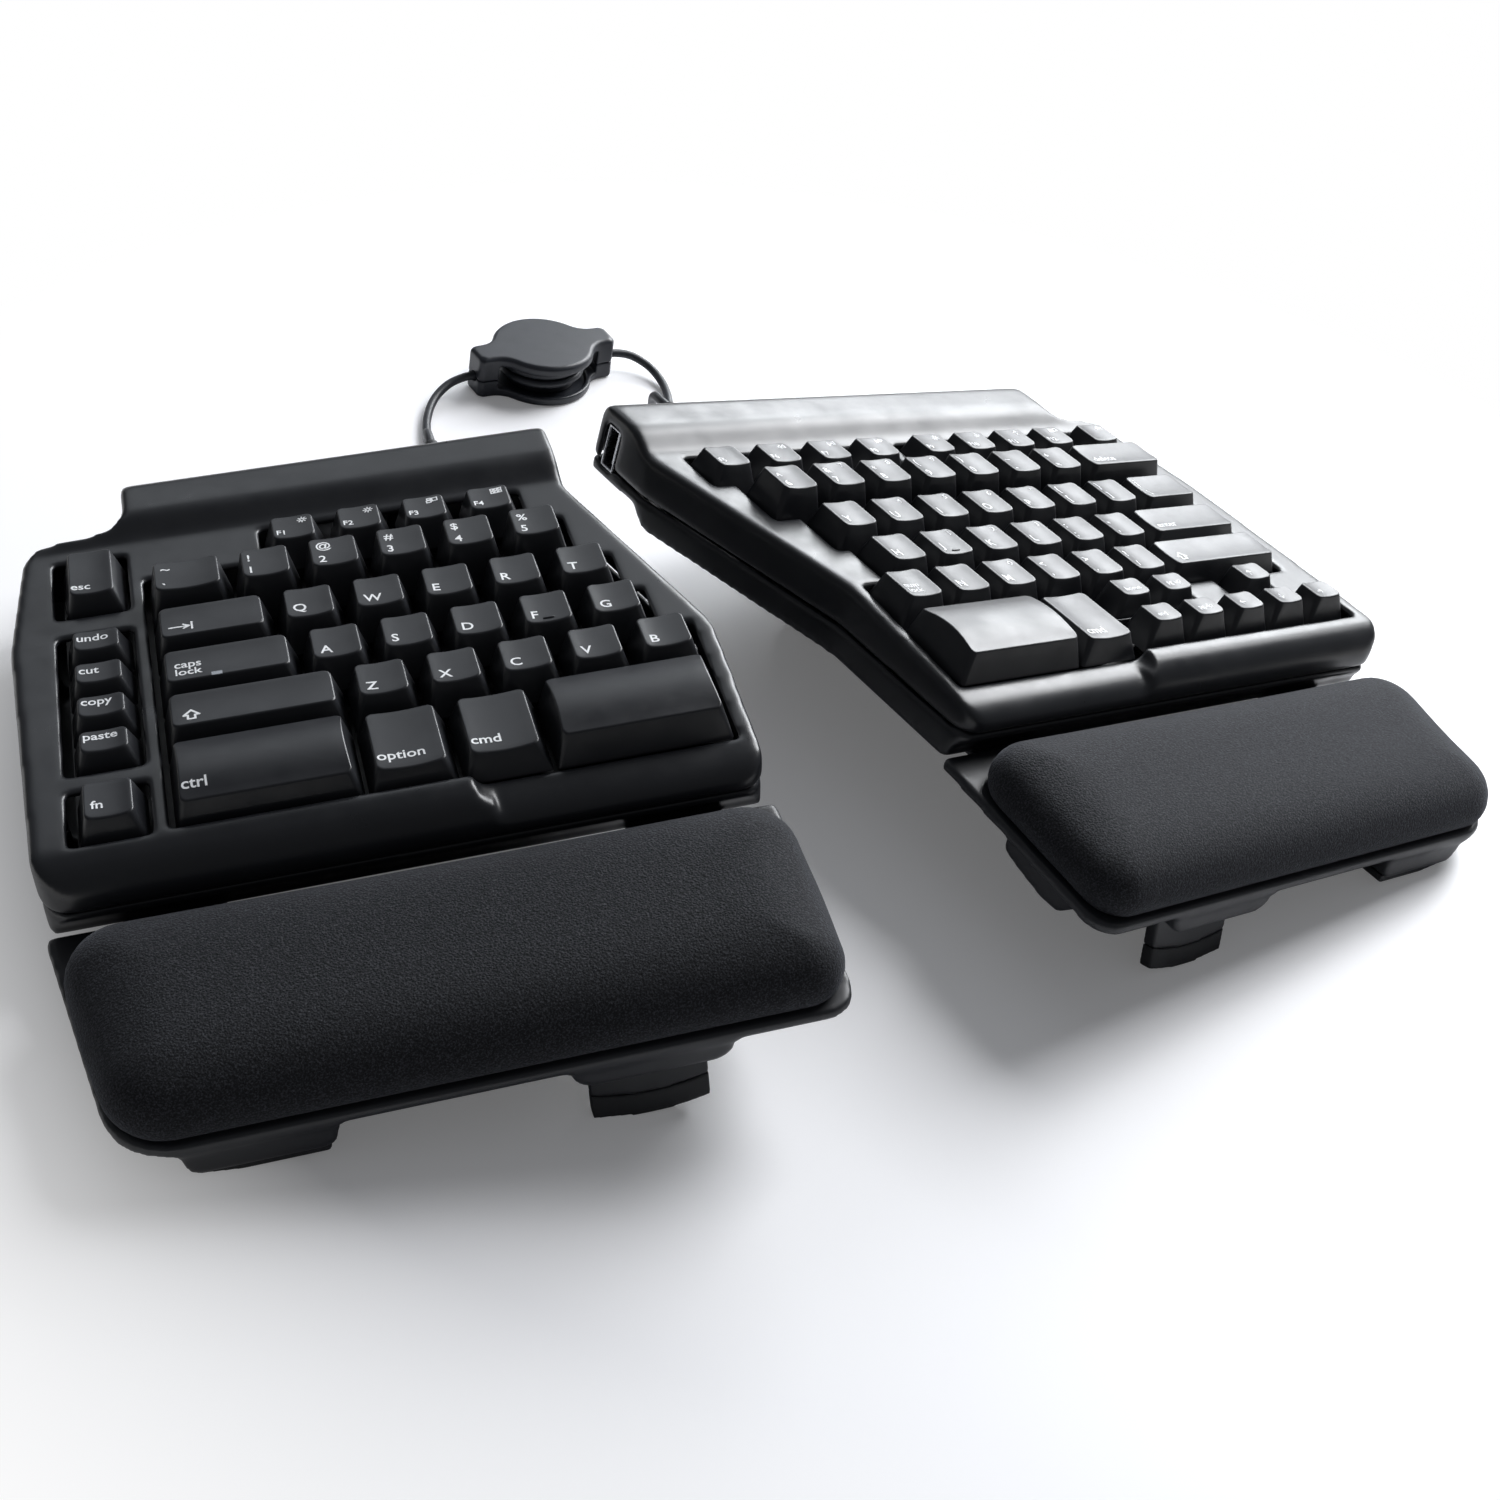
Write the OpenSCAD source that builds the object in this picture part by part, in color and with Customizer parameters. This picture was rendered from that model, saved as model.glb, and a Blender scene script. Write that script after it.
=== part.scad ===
// Ergonomic split keyboard: two tented halves with palm rests, folding legs and a link-cord reel.
// All sizes are in millimetres. Each half is drawn in its own key frame: x runs along the key rows,
// y towards the rear and z up from the home-row key tops. The half is then tilted and stood on the desk.

/* [Keys] */
// Spacing of neighbouring keys along and across the rows
key_pitch = 19.05; // [18.9:0.05:19.2]
// Gap between the skirts of neighbouring keys
key_gap = 0.95; // [0.8:0.05:1.2]
// Height of a home-row key cap from its skirt to its top
cap_height = 10; // [9.5:0.25:10.5]
// Wall of a key cap
cap_wall = 1.4; // [1.1:0.1:1.5]
// Travel of every key
key_travel = 3.5; // [2.5:0.1:3.6]
// Radius of the finger dish in a key top
dish_radius = 30; // [26:1:40]

/* [Case] */
// Thickness of the moulded case walls
skin = 2.2; // [2:0.05:2.4]
// Drop of the front lip under the thumbs
lip_drop = 3.8; // [2.5:0.1:4]
// Radius of the screws that close each case
screw_radius = 1.25; // [1:0.05:1.3]

/* [Stance] */
// Sideways tilt of each half in degrees, inner ends up
tent = 8.6; // [8:0.1:9.2]
// Angle of each half to the centre line in degrees, rear ends together
splay = 9; // [7:0.5:9.5]
// Tilt of each half in degrees, front edges up
front_lift = 2.3; // [1.8:0.1:2.8]
// Height of the left reference key above the desk
key_height = 45.5; // [45:0.25:46.5]
// Sideways distance of each reference key from the middle
half_spread = 86.9; // [86:0.5:100]

/* [Palm rest] */
// Height of the padded palm rest at its crown
pad_height = 15.6; // [13:0.2:16]
// Width of the bare tray edge around the pad
pad_margin = 1; // [0.6:0.2:3]

/* [Legs] */
// Width of each front leg
front_leg_width = 29.5; // [26:0.5:31]
// Thickness of each front leg
front_leg_thickness = 4; // [3.5:0.25:4.5]
// Lean of each front leg in degrees, tips forward
front_lean = 15; // [10:1:18]
// Width of each rear leg
rear_leg_width = 24; // [20:0.5:25]
// Radius of the leg hinge pins
pin_radius = 1.5; // [1.2:0.05:1.6]

/* [Reel] */
// Radius of the reel shells
reel_radius = 18.5; // [18:0.25:20]
// Radius of the link cord
cord_radius = 1.5; // [1.3:0.05:1.5]
// Turns of cord that show on the drum
wound_turns = 2; // [1:1:2]

/* [Hidden] */
u = key_pitch;
$fn = 48;

// Levels in the key frame
frame_z = -5.5;
lip_z = frame_z - lip_drop;
parting_z = -19;
floor_z = -28.5;
hump_z = -0.6;
hump_under_z = -23;
skirt_z = -cap_height;
plate_top = -15;
plate_thick = 1.5;
board_top = -20.5;
board_thick = 1.6;
boss_z = -20;
front_y = -50;
rear_y = 117;
well_front = -38.4;
well_margin = 0.7;
lip_inner_z = -13;
// Where the two halves stand, and the shift that centres the whole on its origin
stagger = 5.5;
shift = [-51.87, -1.18, 0];
mirror_x = 106;
right_rise = mirror_x * sin(tent) * cos(front_lift);

// Key rows: start and widths in key pitches, row position, depth, top level
number_row = [3 * u, u, 3.2];
upper_row = [2 * u, u, 0.8];
home_row = [u, u, 0];
lower_row = [0, u, 0];
bottom_depth = 1.5 * u;
bottom_row = [-u / 2 - bottom_depth / 2, bottom_depth, -2];
bar_z = 1;
function_row = [78, 16.4, -0.5];

left_number = [-1.75, [1.25, 1, 1, 1, 1, 1]];
left_upper = [-1.75, [1.75, 1, 1, 1, 1, 1]];
left_home = [-1.75, [2, 1, 1, 1, 1, 1]];
left_lower = [-1.75, [2.5, 1, 1, 1, 1, 1]];
left_bottom = [0.75, [1.25, 1.25]];
right_number = [-0.5, [1, 1, 1, 1, 1, 1, 1, 2]];
right_upper = [0, [1, 1, 1, 1, 1, 1, 1, 1.5]];
right_home = [0.25, [1, 1, 1, 1, 1, 1]];
right_lower = [-0.25, [1, 1, 1, 1, 1, 1, 2.75]];
left_function_u = [0.5, 1.5, 2.5, 3.5];
right_function_u = [-0.45, 0.62, 1.69, 2.76, 4.05, 5.03, 6.01, 6.99, 8.15];
function_width = 17.6;
column_x = -47.4;
column_width = 17.6;
esc_at = [column_x, 70.4, -0.5];
esc_depth = 26;
edit_y = [39.9, 25.2, 10.5, -4.2];
edit_depth = 13.6;
edit_z = -2;
fn_at = [column_x, -28.8, -1];
fn_depth = 18.8;
small_depth = 12.2;
small_z = 0;
small_upper_y = -15.6;
small_lower_y = -30.05;
navigation_u = [4.25, 5.25, 7.25];
arrow_u = [4.25, 5.25, 6.25, 7.25, 8.25];

// Screw places and post places in the key frames
left_bosses = [[-62.2, 50], [-62.2, -15], [104.6, 19.5], [92.5, 60], [-28, 93], [40, 93]];
right_bosses = [[167.6, 50], [167.6, -15], [-4, 19.5], [-12.5, 42], [25, 93], [120, 93]];
left_posts = [[-45, 80], [-45, 0], [20, 78], [20, 20], [20, -28], [80, 70], [80, 20], [95, -28]];
right_posts = [[10, 76], [10, 10], [10, -28], [80, 76], [80, 20], [80, -28], [150, 76], [150, 10]];
arm_screws = [[-37, -20], [91, -20]];

function span_x(row, i) = (row[0] + (i == 0 ? 0 : sum(row[1], i)) + row[1][i] / 2) * u;
function sum(v, n) = n == 0 ? 0 : v[n - 1] + sum(v, n - 1);
function row_end(row) = (row[0] + sum(row[1], len(row[1]))) * u;
function arc(c, r, a0, a1, n = 6) =
  [for (i = [0:n]) let (a = a0 + (a1 - a0) * i / n) c + r * [cos(a), sin(a)]];
function unit(v) = v / norm(v);
// Corner of a closed outline rounded with a tangent arc
function corner(p, q, s, r, n) =
  let (a = unit(p - q), b = unit(s - q), h = acos(a * b) / 2, m = unit(a + b))
  let (c = q + m * r / sin(h), t0 = q + a * r / tan(h), t1 = q + b * r / tan(h))
  let (g0 = atan2(t0[1] - c[1], t0[0] - c[0]), g1 = atan2(t1[1] - c[1], t1[0] - c[0]))
  let (d = g1 - g0 > 180 ? g1 - g0 - 360 : g1 - g0 < -180 ? g1 - g0 + 360 : g1 - g0)
  [for (i = [0:n]) c + r * [cos(g0 + d * i / n), sin(g0 + d * i / n)]];
function xy(p) = [p[0], p[1]];
function rounded(pts) = let (n = len(pts))
  [for (i = [0:n - 1]) each corner(xy(pts[(i + n - 1) % n]), xy(pts[i]), xy(pts[(i + 1) % n]), pts[i][2], 6)];
function normal(p, q) = let (d = unit(q - p)) [-d[1], d[0]];
// Outline moved inwards by d, for an outline listed anticlockwise
function inset(pts, d) = let (n = len(pts))
  [for (i = [0:n - 1])
    let (a = normal(xy(pts[(i + n - 1) % n]), xy(pts[i])), b = normal(xy(pts[i]), xy(pts[(i + 1) % n])))
    let (m = xy(pts[i]) + d * (a + b) / (1 + a * b), turn = a[0] * b[1] - a[1] * b[0])
    [m[0], m[1], max(0.4, turn > 0 ? pts[i][2] - d : pts[i][2] + d)]];

// Plan outlines with corner radii
left_plan = [[-67.2, front_y, 10], [115, front_y, 8], [115.8, 9, 30], [91, 86, 12], [90.4, rear_y, 4],
  [-37.4, rear_y, 4], [-37.4, 94.6, 8], [-66.2, 92.6, 8], [-70.6, 46, 60]];
right_plan = [[-10, front_y, 8], [173.4, front_y, 10], [176.2, 46, 60], [171.8, 92.6, 8], [147.6, 94.6, 8],
  [147.6, rear_y, 4], [-31.2, rear_y, 4], [-30.6, 87, 12], [-10.6, 9, 30]];
left_plate = [[-57, -36], [110.3, -36], [110.3, 9.6], [101.3, 12.4], [101.3, 28.8], [96.2, 31], [96.2, 47.6],
  [88.8, 50], [88.8, 86.6], [-57, 86.6]];
right_plate = [[-5, -36], [163.4, -36], [163.4, 86.6], [-16.6, 86.6], [-16.6, 68.4], [-9.2, 66.6],
  [-9.2, 48], [-1.4, 45.6], [-1.4, 30], [0.6, 28], [0.6, 12.6], [-5, 9.6]];

// Tray and pad in the left key frame, mirrored for the right half
tray_rear = -46.2;
tray_front = -117;
tray_slope = 0.0805;
under_slope = 0.0833;
function tray_top(y) = -26.4 + tray_slope * (y - tray_rear);
function tray_under(y) = -29.8 + under_slope * (y - tray_rear);
tray_plan = [[-56, tray_front, 18], [118.3, tray_front, 8], [118, tray_rear, 2], [-68.2, tray_rear, 2]];
tray_wall = 2.2;
rib_x = [-42, -8, 26, 50, 88];

// Height of the desk in the left key frame
function desk_z(x, y) = -(key_height + sin(tent) * cos(front_lift) * x - sin(front_lift) * y)
  / (cos(front_lift) * cos(tent));

front_leg_x = 67.5;
front_pin = [-104.3, -38.6];
rear_leg_x = 72;
rear_pin = [66, -31.3];
rear_leg_half = 2.3;
leg_gap = 0.45;
pin_clear = 0.06;
tip_height = 6.2;
front_sole_radius = 60;
sole_radius = 100;

// Reel place, in the frame of the desk before the centring shift
reel_at = [64.5, 214.7, 0];
reel_turn = 7;
reel_height = 16;
ear_reach = 27.5;
ear_half = 5.5;
reel_wall = 1.8;
shell_low = 3.4;
shell_high = 12.4;
ear_flow = 8;
drum_radius = 12.6;
drum_gap = 0.35;
axle_radius = 2.2;
wound_radius = 1.45;
wound_pitch = 3.6;
cord_hole_z = 6.6;
left_gland_x = 57;
right_gland_x = 5;
gland_z = -11;
gland_end = 128.5;

module stand_left() {
  translate([-half_spread, stagger, key_height] + shift)
    rotate([0, 0, -splay])
      rotate([-front_lift, 0, 0])
        rotate([0, -tent, 0])
          children();
}

module stand_right() {
  translate([half_spread, -stagger, key_height + right_rise] + shift)
    rotate([0, 0, splay])
      rotate([-front_lift, 0, 0])
        rotate([0, tent, 0])
          children();
}

module other_hand() {
  translate([mirror_x, 0, 0])
    mirror([1, 0, 0])
      children();
}

module above_desk() {
  difference() {
    children();
    translate([-600, -600, -60])
      cube([1200, 1200, 60]);
  }
}

// Profile given as y and z pairs, drawn from x0 to x1
module along_x(x0, x1, pts) {
  translate([x0, 0, 0])
    rotate([90, 0, 90])
      linear_extrude(x1 - x0)
        polygon(pts);
}

// Profile given as x and z pairs, drawn from y0 to y1
module along_y(y0, y1, pts) {
  translate([0, y1, 0])
    rotate([90, 0, 0])
      linear_extrude(y1 - y0)
        polygon(pts);
}

module rod_x(x0, x1, y, z, r) {
  translate([x0, y, z])
    rotate([0, 90, 0])
      cylinder(h = x1 - x0, r = r);
}

module rod_y(y0, y1, x, z, r) {
  translate([x, y0, z])
    rotate([-90, 0, 0])
      cylinder(h = y1 - y0, r = r);
}

module rod_z(z0, z1, p, r) {
  translate([p[0], p[1], z0])
    cylinder(h = z1 - z0, r = r);
}

module box(x0, x1, y0, y1, z0, z1) {
  translate([x0, y0, z0])
    cube([x1 - x0, y1 - y0, z1 - z0]);
}

// Key caps

// Draft of the sides, front and rear of a cap, and of the small caps
side_in = 2.75;
front_in = 3;
rear_in = 1.8;
draft = [side_in, front_in, rear_in];
small_draft = [3.3, 3, 0.6];
stem_x = 4.4;
stem_y = 2.2;
stem_end = -13.2;
roof = 2.6;

module cap_block(w, d, h, t, top, low, slope = draft) {
  k = (h - top) / h;
  f = low / h;
  intersection() {
    along_y(-d, d, [[-w / 2 + t - slope[0] * f, -h - low], [w / 2 - t + slope[0] * f, -h - low],
      [w / 2 - t - slope[0] * k, -top], [-w / 2 + t + slope[0] * k, -top]]);
    along_x(-w, w, [[-d / 2 + t - slope[1] * f, -h - low], [d / 2 - t + slope[2] * f, -h - low],
      [d / 2 - t - slope[2] * k, -top], [-d / 2 + t + slope[1] * k, -top]]);
  }
}

module stem(h, z) {
  box(-stem_x / 2, stem_x / 2, -stem_y / 2, stem_y / 2, stem_end - z, -h + cap_wall);
}

// Cap with a dished top, placed by its pitch, depth and top level
module cap(w, d, z, slope = draft) {
  h = cap_height + z;
  wide = w - 2 * slope[0];
  dip = 0.8;
  reach = min(wide / 2, 9);
  r = max(dish_radius, (reach * reach + dip * dip) / (2 * dip));
  difference() {
    cap_block(w, d, h, 0, 0, 0, slope);
    if (wide < 20)
      translate([0, 0, sqrt(r * r - wide * wide / 4)])
        rotate([90, 0, 0])
          cylinder(h = 2 * d, r = r, center = true, $fn = 96);
    if (wide >= 20)
      translate([0, (front_in - rear_in) / 2, 60 - 0.6])
        rotate([0, 90, 0])
          cylinder(h = 2 * w, r = 60, center = true, $fn = 160);
    cap_block(w, d, h, cap_wall, roof, 0.5, slope);
  }
  stem(roof, z);
}

// Bar key with a barrel top
module bar_key(w, d, z) {
  h = cap_height + z;
  roll = 35;
  difference() {
    intersection() {
      cap_block(w, d, h, 0, 0, 0);
      translate([0, 0.3, -roll])
        rotate([0, 90, 0])
          cylinder(h = 2 * w, r = roll, center = true, $fn = 128);
    }
    intersection() {
      cap_block(w, d, h, cap_wall, roof - 0.8, 0.5);
      translate([0, 0.3, -roll])
        rotate([0, 90, 0])
          cylinder(h = 2 * w, r = roll - roof + 0.4, center = true, $fn = 128);
    }
  }
  stem(roof - 0.4, z);
}

module row_caps(row, place, first, last) {
  for (i = [first:last])
    translate([span_x(row, i), place[0], place[2]])
      cap(row[1][i] * u - key_gap, place[1] - key_gap, place[2]);
}

module function_caps(list) {
  for (c = list)
    translate([c * u, function_row[0], function_row[2]])
      cap(function_width - key_gap / 2, function_row[1] - key_gap / 2, function_row[2]);
}

module small_caps(list, y) {
  for (c = list)
    translate([c * u, y, small_z])
      cap(u - key_gap, small_depth, small_z, small_draft);
}

// Switches: body through the plate, flange on it, housing with a slot for the key stem
full_switch = [13.8, 13.8];
low_switch = [12, 12];
small_switch = [9, 7.4];
hole_gap = 0.3;
module switch(x, y, s = full_switch) {
  a = s[0] / 2;
  b = s[1] / 2;
  translate([x, y, 0])
    difference() {
      union() {
        box(-a, a, -b, b, board_top, plate_top);
        box(-a - 0.4, a + 0.4, -b - 0.4, b + 0.4, plate_top, plate_top + 0.8);
        box(-a + 0.9, a - 0.9, -b + 0.9, b - 0.9, plate_top, -11.4);
      }
      box(-stem_x / 2 - 0.3, stem_x / 2 + 0.3, -stem_y / 2 - 0.3, stem_y / 2 + 0.3,
        stem_end - key_travel - 0.6, 0);
    }
}

module switch_hole(x, y, s = full_switch) {
  translate([x, y])
    square([s[0] + hole_gap, s[1] + hole_gap], center = true);
}

module row_switches(row, place) {
  for (i = [0:len(row[1]) - 1])
    switch(span_x(row, i), place[0]);
}

module row_holes(row, place) {
  for (i = [0:len(row[1]) - 1])
    switch_hole(span_x(row, i), place[0]);
}

left_singles = [[0.75 * u - 1.25 * u, bottom_row[0]], [1.375 * u, bottom_row[0]], [2.625 * u, bottom_row[0]],
  [4.5 * u, bottom_row[0]], [esc_at[0], esc_at[1]], [fn_at[0], fn_at[1]]];
right_singles = [[u, bottom_row[0]], [2.875 * u, bottom_row[0]], [7.375 * u, home_row[0]]];

module left_switch_set() {
  row_switches(left_number, number_row);
  row_switches(left_upper, upper_row);
  row_switches(left_home, home_row);
  row_switches(left_lower, lower_row);
  for (p = left_singles)
    switch(p[0], p[1]);
  for (c = left_function_u)
    switch(c * u, function_row[0], low_switch);
  for (y = edit_y)
    switch(column_x, y, small_switch);
}

module right_switch_set() {
  row_switches(right_number, number_row);
  row_switches(right_upper, upper_row);
  row_switches(right_home, home_row);
  row_switches(right_lower, lower_row);
  for (p = right_singles)
    switch(p[0], p[1]);
  for (c = right_function_u)
    switch(c * u, function_row[0], low_switch);
  for (c = navigation_u)
    switch(c * u, small_upper_y, small_switch);
  for (c = arrow_u)
    switch(c * u, small_lower_y, small_switch);
}

module left_plate_holes() {
  row_holes(left_number, number_row);
  row_holes(left_upper, upper_row);
  row_holes(left_home, home_row);
  row_holes(left_lower, lower_row);
  for (p = left_singles)
    switch_hole(p[0], p[1]);
  for (c = left_function_u)
    switch_hole(c * u, function_row[0], low_switch);
  for (y = edit_y)
    switch_hole(column_x, y, small_switch);
}

module right_plate_holes() {
  row_holes(right_number, number_row);
  row_holes(right_upper, upper_row);
  row_holes(right_home, home_row);
  row_holes(right_lower, lower_row);
  for (p = right_singles)
    switch_hole(p[0], p[1]);
  for (c = right_function_u)
    switch_hole(c * u, function_row[0], low_switch);
  for (c = navigation_u)
    switch_hole(c * u, small_upper_y, small_switch);
  for (c = arrow_u)
    switch_hole(c * u, small_lower_y, small_switch);
}

// Cases

lip_roll = 11;

// Upper outline of the case in y and z, moved inwards by d
function upper_line(d) = concat(
  arc([front_y + lip_roll, frame_z - lip_roll], lip_roll - d, 180, 90),
  rear_line(d));
function rear_line(d) = concat(
  arc([87, frame_z + 10], 10 + d, 270, 295, 4),
  arc([101.6, hump_z - 14], 14 - d, 115, 90, 4),
  arc([rear_y - 6, hump_z - 6], 6 - d, 90, 0));
top_line = concat([[front_y + 1, parting_z]], upper_line(0), [[rear_y - 0.6, parting_z]]);
function hollow_line(d) = concat(
  [[front_y + d, parting_z - 4], [front_y + d, lip_inner_z - 2.5], [front_y + d + 2.5, lip_inner_z],
    [well_front + 1.6, lip_inner_z], [well_front + 1.6, frame_z - d]],
  rear_line(d), [[rear_y - d, parting_z - 4]]);

module well_row(row, place, x0 = 0, x1 = 0) {
  box(row[0] * u - well_margin - x0, row_end(row) + well_margin + x1, place[0] - place[1] / 2 - 0.2,
    place[0] + place[1] / 2 + 0.2, -30, 10);
}

module left_wells() {
  well_row(left_number, number_row);
  box(-1.75 * u - well_margin, 4.5 * u + well_margin, 60, 70.3, -30, 10);
  well_row(left_upper, upper_row);
  well_row(left_home, home_row);
  well_row(left_lower, lower_row);
  box(-1.75 * u - well_margin, 5.75 * u + well_margin, well_front, -9, -30, 10);
  box(0.5 * u - function_width / 2 - 0.8, 3.5 * u + function_width / 2 + 0.8, 69, 86.9, -30, 10);
  box(-58.2, -38, 56.6, 84.3, -30, 10);
  box(-58.2, -38, -12.2, 47.6, -30, 10);
  box(-58.2, -38, -39.2, -18.6, -30, 10);
}

module right_wells() {
  bar_y = -u / 2 + 0.2;
  well_row(right_number, number_row);
  box(-0.5 * u - well_margin, 8.5 * u + well_margin, 60, 70.3, -30, 10);
  well_row(right_upper, upper_row);
  well_row([0.25, [8.25]], home_row);
  box(-0.25 * u - well_margin, 8.5 * u + well_margin, bar_y, u / 2 + 0.2, -30, 10);
  box(-0.25 * u - well_margin, 3.5 * u + well_margin, well_front, -9, -30, 10);
  box(3.4 * u, 8.75 * u + well_margin, well_front, -23.3, -30, 10);
  box(3.4 * u, 5.75 * u + well_margin, -22.3, -9, -30, 10);
  box(6.75 * u - well_margin, 7.75 * u + well_margin, -22.3, -9, -30, 10);
  for (g = [[0, 3], [4, 7], [8, 8]])
    box(right_function_u[g[0]] * u - function_width / 2 - 0.8,
      right_function_u[g[1]] * u + function_width / 2 + 0.8, 69, 86.9, -30, 10);
}

// Space above the lowered lip, from x0 with an S-shaped start to x1, for the left half
module thumb_cut(x0, x1) {
  low = lip_z;
  roll = [well_front + 1.2 - front_y, low - parting_z - 1.5];
  intersection() {
    along_x(x0 - 1, x1 + 9, concat([[well_front + 1, 8]],
      [for (t = [0:10:90]) [well_front + 1 - roll[0] * sin(t), low - roll[1] * (1 - cos(t))]],
      [[front_y - 9, low - roll[1]], [front_y - 9, 8]]));
    along_y(front_y - 9, well_front + 2, concat([[x0 - 0.6, 8]], [[x0 - 0.6, frame_z + 0.4]],
      arc([x0 - 0.6, low + 10], 4, 270, 300, 3), arc([x0 + 6.4, low + 4], 4, 210, 270, 4),
      [[x0 + 8, -40], [x1 + 9, -40], [x1 + 9, 8]]));
  }
}

// Space above the inner rail, which falls from the frame to the lowered lip
module rail_cut(x0, x1) {
  low = well_front + 0.5;
  along_x(x0, x1, [[low, 8], [low, lip_z + 0.2], [10, frame_z], [12, frame_z], [12, 8]]);
}

module boss_set(list, z1) {
  for (p = list)
    rod_z(boss_z, p[1] > 90 ? z1 + 1.6 : z1, p, 2.8);
}

module boss_bores(list) {
  for (p = list)
    rod_z(boss_z - 1, -9, p, screw_radius + 0.1);
}

module top_case(plan, x0, x1, bosses) {
  difference() {
    union() {
      difference() {
        intersection() {
          translate([0, 0, parting_z])
            linear_extrude(30)
              polygon(rounded(plan));
          along_x(x0, x1, top_line);
        }
        difference() {
          intersection() {
            translate([0, 0, parting_z - 3])
              linear_extrude(30)
                polygon(rounded(inset(plan, skin)));
            along_x(x0, x1, hollow_line(skin));
          }
          children(1);
        }
      }
      boss_set(bosses, frame_z - 1);
    }
    boss_bores(bosses);
    children(0);
  }
}

module left_top_case_solid() {
  top_case(left_plan, -80, 130, left_bosses) {
    union() {
      left_wells();
      thumb_cut(38, 118);
      rail_cut(5.75 * u + 0.2, 118);
      rod_y(108, 118, left_gland_x, gland_z, 2.45);
      box(20 - inlet_w / 2 - 0.1, 20 + inlet_w / 2 + 0.1, 104, 120, inlet_z - inlet_h / 2 - 0.1,
        inlet_z + inlet_h / 2 + 0.1);
    }
    box(107.5, 130, -60, 14, lip_inner_z, 10);
  }
}

module right_top_case_solid() {
  top_case(right_plan, -40, 190, right_bosses) {
    union() {
      right_wells();
      other_hand() thumb_cut(36.5, 118);
      rail_cut(-12, -0.25 * u - 0.2);
      rod_y(108, 118, right_gland_x, gland_z, 2.45);
      box(-34, -14, socket_y - 3.6, socket_y + 3.6, socket_z - 7.2, socket_z + 7.2);
    }
    box(-20, -1.5, -60, 14, lip_inner_z, 10);
  }
}

bottom_front = tray_rear + 1;
function under_line(d, up) = [[front_y + 1.2 + d, up], [front_y + 1.2 + d, parting_z - 1.5],
  [bottom_front + d, tray_top(tray_rear) + 1], [bottom_front + d, floor_z + d + 1.2],
  [bottom_front + 1.2 + d, floor_z + d], [84 - d * 0.6, floor_z + d], [91 - d * 0.4, hump_under_z + d],
  [rear_y - 3 - d, hump_under_z + d], [rear_y - 0.6 - d, hump_under_z + 2.4 + d], [rear_y - 0.6 - d, up]];

module bottom_case(plan, x0, x1, bosses, posts) {
  difference() {
    union() {
      difference() {
        intersection() {
          translate([0, 0, floor_z - 1])
            linear_extrude(parting_z - floor_z + 1)
              polygon(rounded(inset(plan, 0.4)));
          along_x(x0, x1, under_line(0, parting_z));
        }
        intersection() {
          translate([0, 0, floor_z - 1])
            linear_extrude(parting_z - floor_z + 8)
              polygon(rounded(inset(plan, skin + 0.4)));
          along_x(x0, x1, under_line(skin, parting_z + 6));
        }
      }
      intersection() {
        translate([0, 0, floor_z + 1])
          linear_extrude(lip_inner_z - 0.3 - floor_z - 1)
            polygon(rounded(inset(plan, skin + 0.3)));
        box(x0, x1, bottom_front, bottom_front + skin, floor_z + 1, 0);
      }
      for (p = posts)
        rod_z(floor_z + 1, board_top - board_thick, p, 3);
      for (p = bosses)
        rod_z(p[1] > 90 ? hump_under_z + 1 : floor_z + 1, boss_z, p, 2.8);
      children(0);
    }
    for (p = bosses) {
      rod_z(floor_z - 1, boss_z + 1, p, screw_radius + 0.1);
      rod_z(floor_z - 1, (p[1] > 90 ? hump_under_z : floor_z) + 1.7, p, 2.6);
    }
    children(1);
  }
}

lug_half = 3.4;
module rear_lugs() {
  for (s = [-1, 1])
    intersection() {
      translate([rear_leg_x + s * (rear_leg_width / 2 + leg_gap + 2), 0, 0])
        union() {
          box(-2, 2, rear_pin[0] - lug_half, rear_pin[0] + lug_half, rear_pin[1], floor_z + 1);
          rod_x(-2, 2, rear_pin[0], rear_pin[1], lug_half);
        }
      box(0, 130, 0, 130, -60, floor_z + 1);
    }
}

module arm_posts() {
  for (p = arm_screws)
    rod_z(floor_z + 1, board_top - board_thick - 0.4, p, 3);
}

module rear_pin_bore() {
  rod_x(rear_leg_x - 25, rear_leg_x + 25, rear_pin[0], rear_pin[1], pin_radius + 0.02);
}

module arm_bores() {
  for (p = arm_screws)
    rod_z(floor_z - 1, board_top - board_thick - 1.6, p, screw_radius + 0.1);
}

// Palm tray, with a hollow underside, rear arms, leg housing and foot

module tray_slab(x0, x1, d, down) {
  y0 = tray_front - 6;
  y1 = tray_rear + 6;
  along_x(x0, x1, [[y0, tray_under(y0) - down], [y1, tray_under(y1) - down], [y1, tray_top(y1) - d],
    [y0, tray_top(y0) - d]]);
}

knuckle = pin_radius + 1.2;
front_reach = (front_pin[1] + sin(front_lean) * front_leg_thickness / 2
  - desk_z(front_leg_x, front_pin[0] - 7) - 0.56) / cos(front_lean);
housing_under = -42;
slot_ahead = max(knuckle, front_leg_thickness / 2 + tan(front_lean) * (front_pin[1] - housing_under)) + 0.7;
module leg_housing() {
  w = front_leg_width / 2 + 5.4;
  along_y(tray_front + 0.6, front_pin[0] + front_reach + 4, rounded([[front_leg_x - w, housing_under, 5.5],
    [front_leg_x + w, housing_under, 5.5],
    [front_leg_x + w, -29, 0.5], [front_leg_x - w, -29, 0.5]]));
}

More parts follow.
